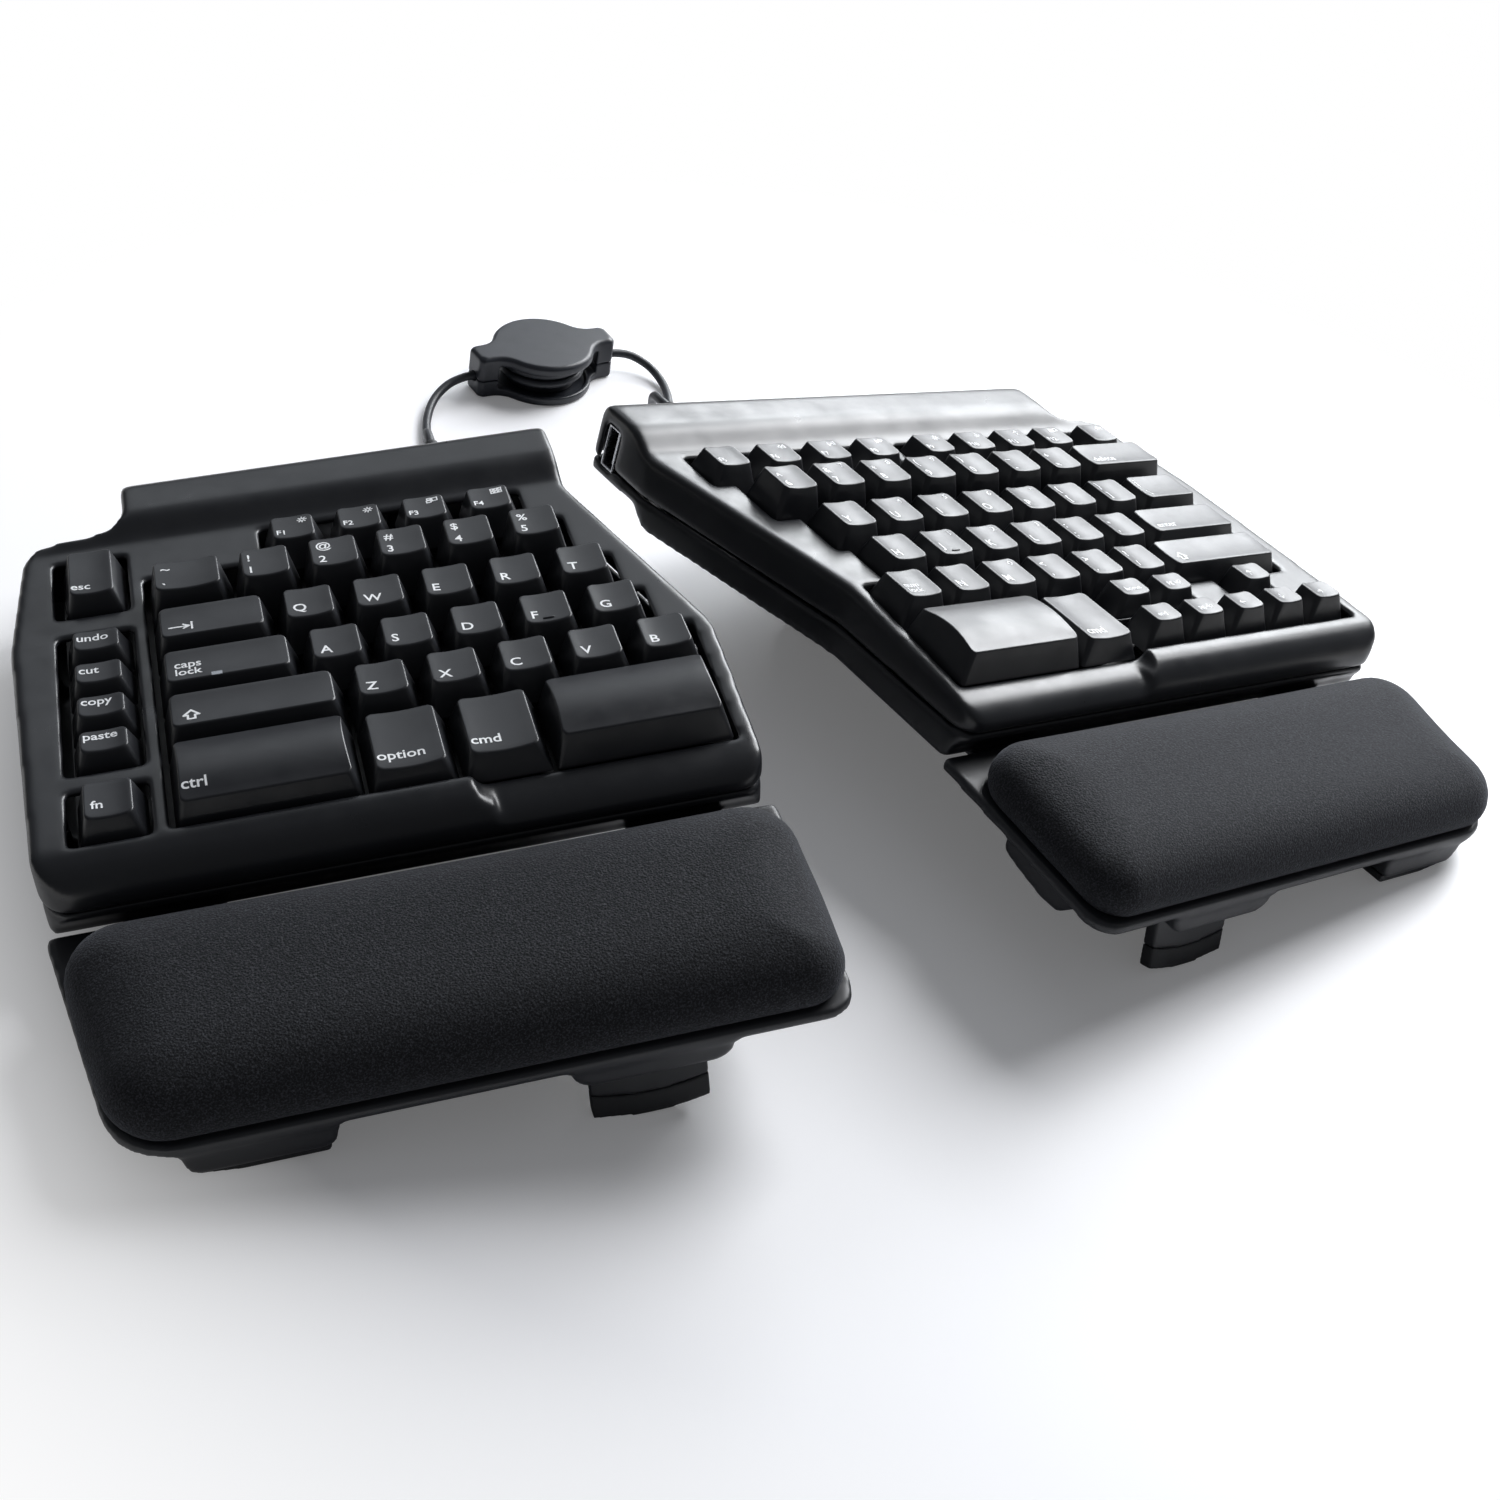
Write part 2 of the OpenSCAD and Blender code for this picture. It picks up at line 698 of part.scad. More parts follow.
foot_x = [-41, -8];
foot_under = desk_z(foot_x[0], tray_front + 7.5) + 0.78;
module foot_block() {
  along_y(tray_front + 1, tray_front + 14, rounded([[foot_x[0], foot_under, 3], [foot_x[1], foot_under, 3],
    [foot_x[1] + 3, -32, 0.5], [foot_x[0] - 3, -32, 0.5]]));
}

module inner_grip() {
  along_x(104.5, 111, [[-69, -27.5], [-71.6, -41.2], [-77.6, -42.7], [-88.9, -44.7], [-95.7, -44.3],
    [-100, -40.1], [-101.5, -27.5]]);
}

module palm_tray() {
  difference() {
    union() {
      difference() {
        intersection() {
          translate([0, 0, -60])
            linear_extrude(60)
              polygon(rounded(tray_plan));
          tray_slab(-80, 130, 0, 0);
        }
        intersection() {
          translate([0, 0, -60])
            linear_extrude(60)
              polygon(rounded(inset(tray_plan, tray_wall)));
          tray_slab(-80, 130, tray_wall, 5);
        }
      }
      intersection() {
        union() {
          leg_housing();
          foot_block();
          inner_grip();
        }
        tray_slab(-80, 130, 1, 40);
      }
      intersection() {
        for (x = rib_x)
          box(x - 0.8, x + 0.8, tray_front + 1, tray_rear - 1, -60, -18);
        tray_slab(-80, 130, 1, 0);
      }
      for (a = [[-50, -24], [78, 104]])
        box(a[0], a[1], -56, -8, -31.4, floor_z);
      for (a = [[-50, -24], [78, 104]])
        intersection() {
          box(a[0], a[1], -56, tray_rear - 0.5, -31.4, -18);
          tray_slab(-80, 130, 0.5, 5);
        }
    }
    box(front_leg_x - front_leg_width / 2 - leg_gap, front_leg_x + front_leg_width / 2 + leg_gap,
      front_pin[0] - slot_ahead, front_pin[0] + front_reach + 1.5, -60, front_pin[1] + knuckle + leg_gap);
    rod_x(front_leg_x - 18.6, front_leg_x + 18.6, front_pin[0], front_pin[1], pin_radius + 0.02);
    for (p = arm_screws) {
      rod_z(-40, -20, p, screw_radius + 0.1);
      rod_z(-40, -30.2, p, 2.6);
    }
  }
}

// Pad as stacked rings of a rounded rectangle, crowned, with sides drawn in below the middle
pad_rear = -54;
pad_plan = [[tray_plan[0][0], tray_front, 17], [tray_plan[1][0], tray_front, 12],
  [tray_plan[2][0], pad_rear, 15], [tray_plan[3][0] + 1.2, pad_rear, 15]];
pad_sides = 28;
pad_levels = [[1.4, 0], [0.5, 0.12], [0, 0.3], [0.3, 0.5], [1.5, 0.7], [4, 0.85], [8, 0.93], [14, 0.975],
  [22, 1]];
pad_middle = [(pad_plan[0][0] + pad_plan[1][0]) / 2, (tray_front + pad_rear) / 2];
function pad_ring(k) = [for (q = rounded(inset(pad_plan, pad_margin + pad_levels[k][0])))
  [q[0], q[1], tray_top(q[1]) + pad_height * pad_levels[k][1]]];
module palm_pad() {
  n = pad_sides;
  m = len(pad_levels);
  c = pad_middle;
  pts = concat([for (k = [0:m - 1]) each pad_ring(k)],
    [[c[0], c[1], tray_top(c[1])], [c[0], c[1], tray_top(c[1]) + pad_height * 1.01]]);
  polyhedron(pts, concat(
    [for (k = [0:m - 2], i = [0:n - 1]) [k * n + i, (k + 1) * n + i, k * n + (i + 1) % n]],
    [for (k = [0:m - 2], i = [0:n - 1]) [k * n + (i + 1) % n, (k + 1) * n + i, (k + 1) * n + (i + 1) % n]],
    [for (i = [0:n - 1]) [m * n, i, (i + 1) % n]],
    [for (i = [0:n - 1]) [m * n + 1, (m - 1) * n + (i + 1) % n, (m - 1) * n + i]]));
}

// Legs, drawn deployed

function leg_end(x, y) = desk_z(x, y) - 1;
module sole(x, w, y0, y1, z) {
  along_y(y0, y1, concat([[x + w / 2, z + 12], [x - w / 2, z + 12]],
    [for (i = [0:8])
      let (p = -w / 2 + w * i / 8) [x + p, z + sole_radius - sqrt(sole_radius * sole_radius - p * p)]]));
}

module lean_front() {
  translate([front_leg_x, front_pin[0], front_pin[1]])
    rotate([-front_lean, 0, 0])
      children();
}

// Points of the curved sole, or of the line d above it, across the leg
function sole_line(d) = [for (i = [0:12])
  let (p = (i / 6 - 1) * front_leg_width / 2, r = front_sole_radius)
  [p, r - front_reach - sqrt((r - d) * (r - d) - p * p)]];

module front_leg() {
  w = front_leg_width / 2;
  t = front_leg_thickness / 2;
  lean_front()
    difference() {
      union() {
        rod_x(-w, w, 0, 0, knuckle);
        along_y(-t, t, concat([[w, 0], [-w, 0]], sole_line(tip_height)));
      }
      rod_x(-w - 1, w + 1, 0, 0, pin_radius + pin_clear);
    }
}

module front_tip() {
  t = front_leg_thickness / 2;
  up = sole_line(tip_height);
  lean_front()
    along_y(-t, t, concat(sole_line(0), [for (i = [len(up) - 1:-1:0]) up[i]]));
}

rear_sole = desk_z(rear_leg_x - rear_leg_width / 2, rear_pin[0]) - 1.2;
rear_tip_top = rear_sole + 7;
module rear_leg() {
  w = rear_leg_width / 2;
  t = rear_leg_half;
  difference() {
    union() {
      rod_x(rear_leg_x - w, rear_leg_x + w, rear_pin[0], rear_pin[1], t);
      box(rear_leg_x - w, rear_leg_x + w, rear_pin[0] - t, rear_pin[0] + t, rear_tip_top, rear_pin[1]);
    }
    rod_x(rear_leg_x - w - 1, rear_leg_x + w + 1, rear_pin[0], rear_pin[1], pin_radius + pin_clear);
  }
}

module rear_tip() {
  t = rear_leg_half;
  intersection() {
    sole(rear_leg_x, rear_leg_width, rear_pin[0] - t, rear_pin[0] + t, rear_sole);
    box(-100, 200, -200, 200, -100, rear_tip_top);
  }
}

module leg_pins() {
  rod_x(front_leg_x - 18.5, front_leg_x + 18.5, front_pin[0], front_pin[1], pin_radius);
  rod_x(rear_leg_x - rear_leg_width / 2 - leg_gap - 3.8, rear_leg_x + rear_leg_width / 2 + leg_gap + 3.8,
    rear_pin[0], rear_pin[1], pin_radius);
}

module feet() {
  low = foot_under - 2.8;
  along_y(tray_front + 2.5, tray_front + 12.5, rounded([[foot_x[0] + 1, low, 1.5], [foot_x[1] - 1, low, 1.5],
    [foot_x[1] - 1, foot_under, 0.3], [foot_x[0] + 1, foot_under, 0.3]]));
  box(-56, -40, 66, 80, desk_z(-40, 70), floor_z);
}

module screw(p, z0, z1) {
  rod_z(z0, z0 + 1.5, p, 2.3);
  rod_z(z0 + 1, z1, p, screw_radius);
}

module case_screws(list) {
  for (p = list)
    screw(p, (p[1] > 90 ? hump_under_z : floor_z) + 0.2, -9.6);
}

module tray_screws() {
  for (p = arm_screws)
    screw(p, -31.7, board_top - board_thick - 2);
}

// Hub socket in the inner end of the right half and the lead inlet in the rear of the left half
socket_y = 107.6;
socket_z = -13.2;
module socket() {
  difference() {
    box(-30, -16, socket_y - 3.5, socket_y + 3.5, socket_z - 7.1, socket_z + 7.1);
    box(-31, -18, socket_y - 2.55, socket_y + 2.55, socket_z - 6.25, socket_z + 6.25);
  }
  box(-28.5, -17, socket_y - 1.9, socket_y - 0.1, socket_z - 5.6, socket_z + 5.6);
}

inlet_w = 9;
inlet_h = 5;
inlet_z = -11;
module inlet() {
  difference() {
    box(20 - inlet_w / 2, 20 + inlet_w / 2, 106.5, rear_y, inlet_z - inlet_h / 2, inlet_z + inlet_h / 2);
    box(20 - 3.6, 20 + 3.6, 108, 120, inlet_z - 1.6, inlet_z + 1.6);
  }
  box(20 - 2.6, 20 + 2.6, 107, 113.5, inlet_z - 0.4, inlet_z + 0.4);
}

module gland(x) {
  rod_y(110, rear_y - skin, x, gland_z, 3.6);
  rod_y(rear_y - skin - 0.5, rear_y + 0.3, x, gland_z, 2.4);
  translate([x, rear_y, gland_z])
    rotate([-90, 0, 0])
      cylinder(h = gland_end - rear_y, r1 = 3.2, r2 = 2.2);
}

// Reel

module reel_place() {
  translate(reel_at + shift)
    rotate([0, 0, reel_turn])
      children();
}

// Plan of the reel, d inside its edge: round body that flows into two blocky ears
function reel_plan(d) = let (
  r = reel_radius - d, e = ear_reach - d, h = ear_half - d, f = ear_flow + d,
  x = sqrt((r + f) * (r + f) - (h + f) * (h + f)), a = atan2(h + f, x))
  concat([[e, 1.4 - h], [e, h - 1.4], [e - 1.4, h]],
    arc([x, h + f], f, 270, 180 + a, 5), arc([0, 0], r, a, 180 - a, 20), arc([-x, h + f], f, 360 - a, 270, 5),
    [[1.4 - e, h], [-e, h - 1.4], [-e, 1.4 - h], [1.4 - e, -h]],
    arc([-x, -h - f], f, 90, a, 5), arc([0, 0], r, 180 + a, 360 - a, 20), arc([x, -h - f], f, 180 - a, 90, 5),
    [[e - 1.4, -h]]);
module reel_plate(z0, z1, d) {
  translate([0, 0, z0])
    linear_extrude(z1 - z0)
      polygon(reel_plan(d));
}

module cord_holes() {
  for (s = [-1, 1])
    translate([s * (reel_radius - 3), 0, cord_hole_z])
      rotate([0, s * 90, 0])
        cylinder(h = 20, r = cord_radius + 0.35);
}

module ear_posts(z0, z1) {
  for (t = [-1, 1])
    intersection() {
      reel_plate(z0, z1, 0);
      translate([t * (reel_radius + 11.6), 0, 0])
        cube([20, 30, 60], center = true);
    }
}

module bottom_shell() {
  difference() {
    union() {
      difference() {
        union() {
          reel_plate(0, 0.6, 0.7);
          reel_plate(0.5, shell_low, 0);
        }
        translate([0, 0, reel_wall])
          cylinder(h = shell_low, r = reel_radius - reel_wall, $fn = 96);
      }
      ear_posts(0.5, cord_hole_z);
      cylinder(h = shell_high + 0.6, r = axle_radius);
    }
    cord_holes();
    translate([0, 0, -1])
      cylinder(h = 20, r = 1.1);
    translate([0, 0, -1])
      cylinder(h = 2.02, r = 1.9);
  }
}

module top_shell() {
  difference() {
    union() {
      difference() {
        union() {
          reel_plate(shell_high, reel_height - 1.1, 0);
          reel_plate(reel_height - 1.2, reel_height - 0.4, 0.4);
          reel_plate(reel_height - 0.5, reel_height, 1.1);
        }
        translate([0, 0, shell_high - 1])
          cylinder(h = reel_height - reel_wall - shell_high + 1, r = reel_radius - reel_wall, $fn = 96);
      }
      ear_posts(cord_hole_z, shell_high + 1);
      translate([0, 0, shell_high + 0.6])
        cylinder(h = reel_height - shell_high - 1.6, r = axle_radius + 1);
    }
    cord_holes();
    translate([0, 0, 5])
      cylinder(h = reel_height - 6.2, r = 1.1);
  }
}

spring_room = 9.4;
module drum() {
  z0 = reel_wall + drum_gap;
  z1 = shell_high + 0.2;
  difference() {
    union() {
      translate([0, 0, z0])
        cylinder(h = z1 - z0, r = drum_radius, $fn = 96);
      wound_stops();
    }
    translate([0, 0, z0 + 1.4])
      cylinder(h = z1 - z0 - 2.8, r = spring_room);
    translate([0, 0, 0])
      cylinder(h = 30, r = axle_radius + 0.06);
  }
}

// Wound cord: a helix on the drum with straight tangent ends that meet two stops
wound_r = drum_radius + wound_radius + 0.16;
wound_rings = 24;
wound_z0 = 7.8 - wound_pitch * wound_turns / 2;
wound_sweep = wound_turns * 360 - 40;
function wound_point(a) = [wound_r * cos(a), wound_r * sin(a), wound_z0 + wound_pitch * a / 360 + 0.15];
function wound_tangent(a) = unit([-wound_r * sin(a), wound_r * cos(a), wound_pitch / 6.2832]);
wound_steps = floor(wound_sweep / 360 * wound_rings);
function helix_at(i) = wound_point(wound_sweep * i / wound_steps);
wound_path = concat(
  [wound_point(0) - wound_tangent(0) * 2 * wound_radius],
  [for (i = [0:wound_steps]) helix_at(i)],
  [wound_point(wound_sweep) + wound_tangent(wound_sweep) * 2 * wound_radius]);
wound_gap = min([for (i = [0:len(wound_path) - 1], j = [0:len(wound_path) - 1])
  if (j - i > wound_rings / 2) norm(wound_path[i] - wound_path[j]) - 2 * wound_radius]);
echo(least_gap_in_winding = wound_gap);

module tube(path, r, sides) {
  n = len(path);
  t = [for (i = [0:n - 1]) unit(path[min(i + 1, n - 1)] - path[max(i - 1, 0)])];
  a = [for (i = [0:n - 1]) let (s = cross(t[i], [0, 0, 1])) norm(s) < 0.05 ? [1, 0, 0] : unit(s)];
  b = [for (i = [0:n - 1]) cross(a[i], t[i])];
  pts = [for (i = [0:n - 1], k = [0:sides - 1])
    let (g = 360 * (k + 0.5) / sides) path[i] + r / cos(180 / sides) * (a[i] * cos(g) + b[i] * sin(g))];
  polyhedron(concat(pts, [path[0], path[n - 1]]), concat(
    [for (i = [0:n - 2], k = [0:sides - 1])
      [i * sides + k, i * sides + (k + 1) % sides, (i + 1) * sides + k]],
    [for (i = [0:n - 2], k = [0:sides - 1])
      [i * sides + (k + 1) % sides, (i + 1) * sides + (k + 1) % sides, (i + 1) * sides + k]],
    [for (k = [0:sides - 1]) [n * sides, (k + 1) % sides, k]],
    [for (k = [0:sides - 1]) [n * sides + 1, (n - 1) * sides + k, (n - 1) * sides + (k + 1) % sides]]));
}

// Block on the drum, square to an end of the wound cord
module wound_stop(a, s) {
  p = wound_point(a) + s * wound_tangent(a) * 2 * wound_radius;
  intersection() {
    translate([p[0], p[1], p[2]])
      rotate([0, 0, a])
        rotate([s * atan2(wound_pitch, 360 * wound_r / 57.2958), 0, 0])
          box(-3.2, 1, s > 0 ? 0.02 : -1.6, s > 0 ? 1.6 : -0.02, -1.1, 1.1);
    cylinder(h = 40, r = reel_radius - reel_wall - 0.4);
  }
}

module wound_stops() {
  wound_stop(0, -1);
  wound_stop(wound_sweep, 1);
}

// Flat return spring wound inside the drum
spring_turns = 3;
function spring_edge(r0, d) =
  [for (i = [0:18 * spring_turns]) let (a = i * 20, r = r0 + 1.5 * a / 360 + d) [r * cos(a), r * sin(a)]];
module return_spring() {
  e = spring_edge(3.6, 0);
  f = spring_edge(3.6, 0.5);
  n = len(e);
  translate([0, 0, reel_wall + drum_gap + 1.9])
    linear_extrude(shell_high - reel_wall - drum_gap - 3.4)
      polygon(concat(e, [for (i = [n - 1:-1:0]) f[i]]));
}

module shell_screw() {
  translate([0, 0, 0.3])
    cylinder(h = 0.7, r = 1.8);
  translate([0, 0, 0.6])
    cylinder(h = reel_height - 2, r = 1);
}

// Link cords, swept along points on the desk
function smooth(p, n) = [for (i = [0:len(p) - 2], k = [0:n - 1])
  let (a = p[max(i - 1, 0)], b = p[i], c = p[i + 1], d = p[min(i + 2, len(p) - 1)], t = k / n)
  0.5 * (2 * b + (c - a) * t + (2 * a - 5 * b + 4 * c - d) * t * t + (3 * b - a - 3 * c + d) * t * t * t)];
left_route = [[27, 209.3, 5], [20, 203.6, 2.8], [14, 192.6, 1.8], [9.9, 179.6, 1.9], [6.2, 167.1, 2.6],
  [2.2, 155.6, 8.3], [-1.3, 147, 18.1], [-4.6, 140, 28.2], [-7.4, 133.6, 35.6]];
right_route = [[101.7, 216.8, 5.7], [107, 211.1, 3.6], [108.6, 201.7, 1.9], [106, 190.1, 1.8],
  [100.6, 177.9, 1.9], [93.8, 166.4, 3.9], [85.4, 155.3, 12.2], [78.3, 146.3, 24], [72.8, 138.3, 35.7],
  [70, 132, 42.4]];
function left_in(p) = [-half_spread, stagger, key_height] + turn(p, -1);
function right_in(p) = [half_spread, -stagger, key_height + right_rise] + turn(p, 1);
function turn(p, s) = let (
  x = p[0] * cos(tent) + s * p[2] * sin(tent),
  z0 = -s * p[0] * sin(tent) + p[2] * cos(tent),
  y = p[1] * cos(front_lift) + z0 * sin(front_lift),
  z = -p[1] * sin(front_lift) + z0 * cos(front_lift))
  [x * cos(splay) - s * y * sin(splay), s * x * sin(splay) + y * cos(splay), z];
function reel_end(s, d) = let (r = s * (ear_reach - 1.5 + d))
  reel_at + [r * cos(reel_turn), r * sin(reel_turn), cord_hole_z];
left_ends = [for (d = [0, 5]) left_in([left_gland_x, gland_end + d, gland_z])];
right_ends = [for (d = [0, 5]) right_in([right_gland_x, gland_end + d, gland_z])];
left_points = concat([reel_end(-1, 0), reel_end(-1, 5)], left_route, [left_ends[1], left_ends[0]]);
right_points = concat([reel_end(1, 0), reel_end(1, 5)], right_route, [right_ends[1], right_ends[0]]);
left_path = concat(smooth(left_points, 5), [left_ends[0]]);
right_path = concat(smooth(right_points, 5), [right_ends[0]]);
function run(p) = [for (i = [1:len(p) - 1]) norm(p[i] - p[i - 1])];
function total(v, i = 0) = i == len(v) ? 0 : v[i] + total(v, i + 1);
echo(left_cord_length = total(run(left_path)), right_cord_length = total(run(right_path)));

// Sub-parts

black = [0.06, 0.065, 0.075];
dark = [0.1, 0.105, 0.12];
grey = [0.3, 0.31, 0.33];
steel = [0.7, 0.71, 0.73];
green = [0.07, 0.2, 0.12];

module left_top_case() color(black) stand_left() left_top_case_solid();
module left_bottom_case() color(black) stand_left()
  bottom_case(left_plan, -80, 130, left_bosses, left_posts) {
    union() {
      rear_lugs();
      arm_posts();
    }
    union() {
      rear_pin_bore();
      arm_bores();
    }
  }
module left_switch_plate() color(steel) stand_left()
  translate([0, 0, plate_top - plate_thick]) linear_extrude(plate_thick)
    difference() {
      polygon(left_plate);
      left_plate_holes();
    }
module left_circuit_board() color(green) stand_left()
  translate([0, 0, board_top - board_thick]) linear_extrude(board_thick) polygon(left_plate);
module left_switches() color(dark) stand_left() left_switch_set();
module left_palm_tray() color(dark) stand_left() palm_tray();
module left_palm_pad() color(dark) stand_left() palm_pad();
module left_feet() color(grey) above_desk() stand_left() feet();
module left_screws() color(steel) stand_left() {
  case_screws(left_bosses);
  tray_screws();
}
module left_leg_pins() color(steel) stand_left() leg_pins();
module left_cord_gland() color(dark) stand_left() gland(left_gland_x);
module host_inlet() color(steel) stand_left() inlet();
module left_front_leg() color(grey) stand_left() front_leg();
module left_front_leg_tip() color(dark) above_desk() stand_left() front_tip();
module left_rear_leg() color(grey) stand_left() rear_leg();
module left_rear_leg_tip() color(dark) above_desk() stand_left() rear_tip();
module esc_key() color(black) stand_left() translate(esc_at) cap(column_width, esc_depth, esc_at[2]);
module edit_keys() color(black) stand_left()
  for (y = edit_y)
    translate([column_x, y, edit_z]) cap(column_width, edit_depth, edit_z);
module fn_key() color(black) stand_left() translate(fn_at) cap(column_width, fn_depth, fn_at[2]);
module left_function_keys() color(black) stand_left() function_caps(left_function_u);
module left_number_keys() color(black) stand_left() row_caps(left_number, number_row, 0, 5);
module left_upper_keys() color(black) stand_left() row_caps(left_upper, upper_row, 0, 5);
module left_home_keys() color(black) stand_left() row_caps(left_home, home_row, 0, 5);
module left_lower_keys() color(black) stand_left() row_caps(left_lower, lower_row, 0, 5);
module left_bottom_keys() color(black) stand_left() {
  translate([-0.5 * u, bottom_row[0], bar_z])
    bar_key(2.5 * u - key_gap, bottom_depth - key_gap, bar_z);
  row_caps(left_bottom, bottom_row, 0, 1);
}
module left_space_key() color(black) stand_left()
  translate([4.5 * u, bottom_row[0], bar_z])
    bar_key(2.5 * u - key_gap, bottom_depth - key_gap, bar_z);

module right_top_case() color(black) stand_right() right_top_case_solid();
module right_bottom_case() color(black) stand_right()
  bottom_case(right_plan, -40, 190, right_bosses, right_posts) {
    other_hand() {
      rear_lugs();
      arm_posts();
    }
    union() {
      other_hand() {
        rear_pin_bore();
        arm_bores();
      }
      box(-34, -14, socket_y - 3.6, socket_y + 3.6, socket_z - 7.2, socket_z + 7.2);
    }
  }
module right_switch_plate() color(steel) stand_right()
  translate([0, 0, plate_top - plate_thick]) linear_extrude(plate_thick)
    difference() {
      polygon(right_plate);
      right_plate_holes();
    }
module right_circuit_board() color(green) stand_right()
  translate([0, 0, board_top - board_thick]) linear_extrude(board_thick) polygon(right_plate);
module right_switches() color(dark) stand_right() right_switch_set();
module right_palm_tray() color(dark) stand_right() other_hand() palm_tray();
module right_palm_pad() color(dark) stand_right() other_hand() palm_pad();
module right_feet() color(grey) above_desk() stand_right() other_hand() feet();
module right_screws() color(steel) stand_right() {
  case_screws(right_bosses);
  other_hand() tray_screws();
}
module right_leg_pins() color(steel) stand_right() other_hand() leg_pins();
module right_cord_gland() color(dark) stand_right() gland(right_gland_x);
module hub_socket() color(steel) stand_right() socket();
module right_front_leg() color(grey) stand_right() other_hand() front_leg();
module right_front_leg_tip() color(dark) above_desk() stand_right() other_hand() front_tip();
module right_rear_leg() color(grey) stand_right() other_hand() rear_leg();
module right_rear_leg_tip() color(dark) above_desk() stand_right() other_hand() rear_tip();
module right_function_keys() color(black) stand_right() function_caps(right_function_u);
module right_number_keys() color(black) stand_right() row_caps(right_number, number_row, 0, 7);
module right_upper_keys() color(black) stand_right() row_caps(right_upper, upper_row, 0, 7);
module right_home_keys() color(black) stand_right() row_caps(right_home, home_row, 0, 5);
module enter_key() color(black) stand_right()
  translate([7.375 * u, home_row[0], home_row[2]]) cap(2.25 * u - key_gap, u - key_gap, home_row[2]);
module right_lower_keys() color(black) stand_right() row_caps(right_lower, lower_row, 0, 6);
module right_space_key() color(black) stand_right()
  translate([u, bottom_row[0], bar_z])
    bar_key(2.5 * u - key_gap, bottom_depth - key_gap, bar_z);
module right_modifier_key() color(black) stand_right()
  translate([2.875 * u, bottom_row[0], bottom_row[2]])
    cap(1.25 * u - key_gap, bottom_depth - key_gap, bottom_row[2]);
module navigation_keys() color(black) stand_right() small_caps(navigation_u, small_upper_y);
module arrow_keys() color(black) stand_right() small_caps(arrow_u, small_lower_y);

module reel_top_shell() color(black) reel_place() top_shell();
module reel_bottom_shell() color(black) reel_place() bottom_shell();
module reel_drum() color(dark) reel_place() drum();
module reel_winding() color(grey) reel_place() tube(wound_path, wound_radius * 0.97, 6);
module reel_spring() color(steel) reel_place() return_spring();
module reel_screw() color(steel) reel_place() shell_screw();
module left_cord() color(dark) translate(shift) tube(left_path, cord_radius, 8);
module right_cord() color(dark) translate(shift) tube(right_path, cord_radius, 8);

left_top_case();
left_bottom_case();
left_switch_plate();
left_circuit_board();
left_switches();
left_palm_tray();
left_palm_pad();
left_feet();
left_screws();
left_leg_pins();
left_cord_gland();
host_inlet();
left_front_leg();
left_front_leg_tip();
left_rear_leg();
left_rear_leg_tip();
esc_key();
edit_keys();
fn_key();
left_function_keys();
left_number_keys();
left_upper_keys();
left_home_keys();
left_lower_keys();
left_bottom_keys();
left_space_key();
right_top_case();
right_bottom_case();
right_switch_plate();
right_circuit_board();
right_switches();
right_palm_tray();
right_palm_pad();
right_feet();
right_screws();
right_leg_pins();
right_cord_gland();
hub_socket();
right_front_leg();
right_front_leg_tip();
right_rear_leg();
right_rear_leg_tip();
right_function_keys();
right_number_keys();
right_upper_keys();
right_home_keys();
enter_key();
right_lower_keys();
right_space_key();
right_modifier_key();
navigation_keys();
arrow_keys();
reel_top_shell();
reel_bottom_shell();
reel_drum();
reel_winding();
reel_spring();
reel_screw();
left_cord();
right_cord();
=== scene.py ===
"""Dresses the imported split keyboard: caps with legends, moulded cases, cloth palm pads, reel and cords.

Sizes inside a half are millimetres in its key frame (x along the rows, y to the rear, z up from the
home-row tops). Everything that reaches the scene is in metres in the part's own frame.
"""

import logging
import math
from dataclasses import dataclass
from enum import Enum

import bmesh
import bpy
import numpy as np
from mathutils import Matrix, Vector


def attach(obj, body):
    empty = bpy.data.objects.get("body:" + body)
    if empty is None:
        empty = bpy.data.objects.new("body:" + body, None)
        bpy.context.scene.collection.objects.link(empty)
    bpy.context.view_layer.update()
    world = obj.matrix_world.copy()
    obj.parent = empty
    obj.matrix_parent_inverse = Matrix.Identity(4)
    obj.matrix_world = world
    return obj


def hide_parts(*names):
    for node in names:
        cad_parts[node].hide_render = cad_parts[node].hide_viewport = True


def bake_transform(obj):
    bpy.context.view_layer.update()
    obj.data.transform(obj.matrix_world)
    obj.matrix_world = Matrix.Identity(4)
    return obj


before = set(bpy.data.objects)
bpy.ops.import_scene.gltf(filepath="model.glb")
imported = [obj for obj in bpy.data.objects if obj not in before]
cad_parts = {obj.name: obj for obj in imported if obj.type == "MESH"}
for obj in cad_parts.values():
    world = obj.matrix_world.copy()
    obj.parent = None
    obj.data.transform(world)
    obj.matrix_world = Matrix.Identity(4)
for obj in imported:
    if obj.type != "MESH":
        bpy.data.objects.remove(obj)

MM = 0.001
PITCH = 19.05
# A point at x in one half has its mirror image at MIRROR - x in the other
MIRROR = 106.0
# Turn of the reel on the desk in degrees
REEL_TURN = 7.0
# Steps in each corner and along each side of a cap's rings, and points around a cord
LOOP_STEPS = 6
TUBE_SIDES = 14
LOG = logging.getLogger("split_keyboard")


class Side(Enum):
    """The two halves, with the sign of their tilt and splay."""

    LEFT = -1
    RIGHT = 1


class Top(Enum):
    """How the top of a key cap is shaped."""

    DISHED = "hollow across the row"
    LONG = "hollow along the row"
    BAR = "barrel across the row"


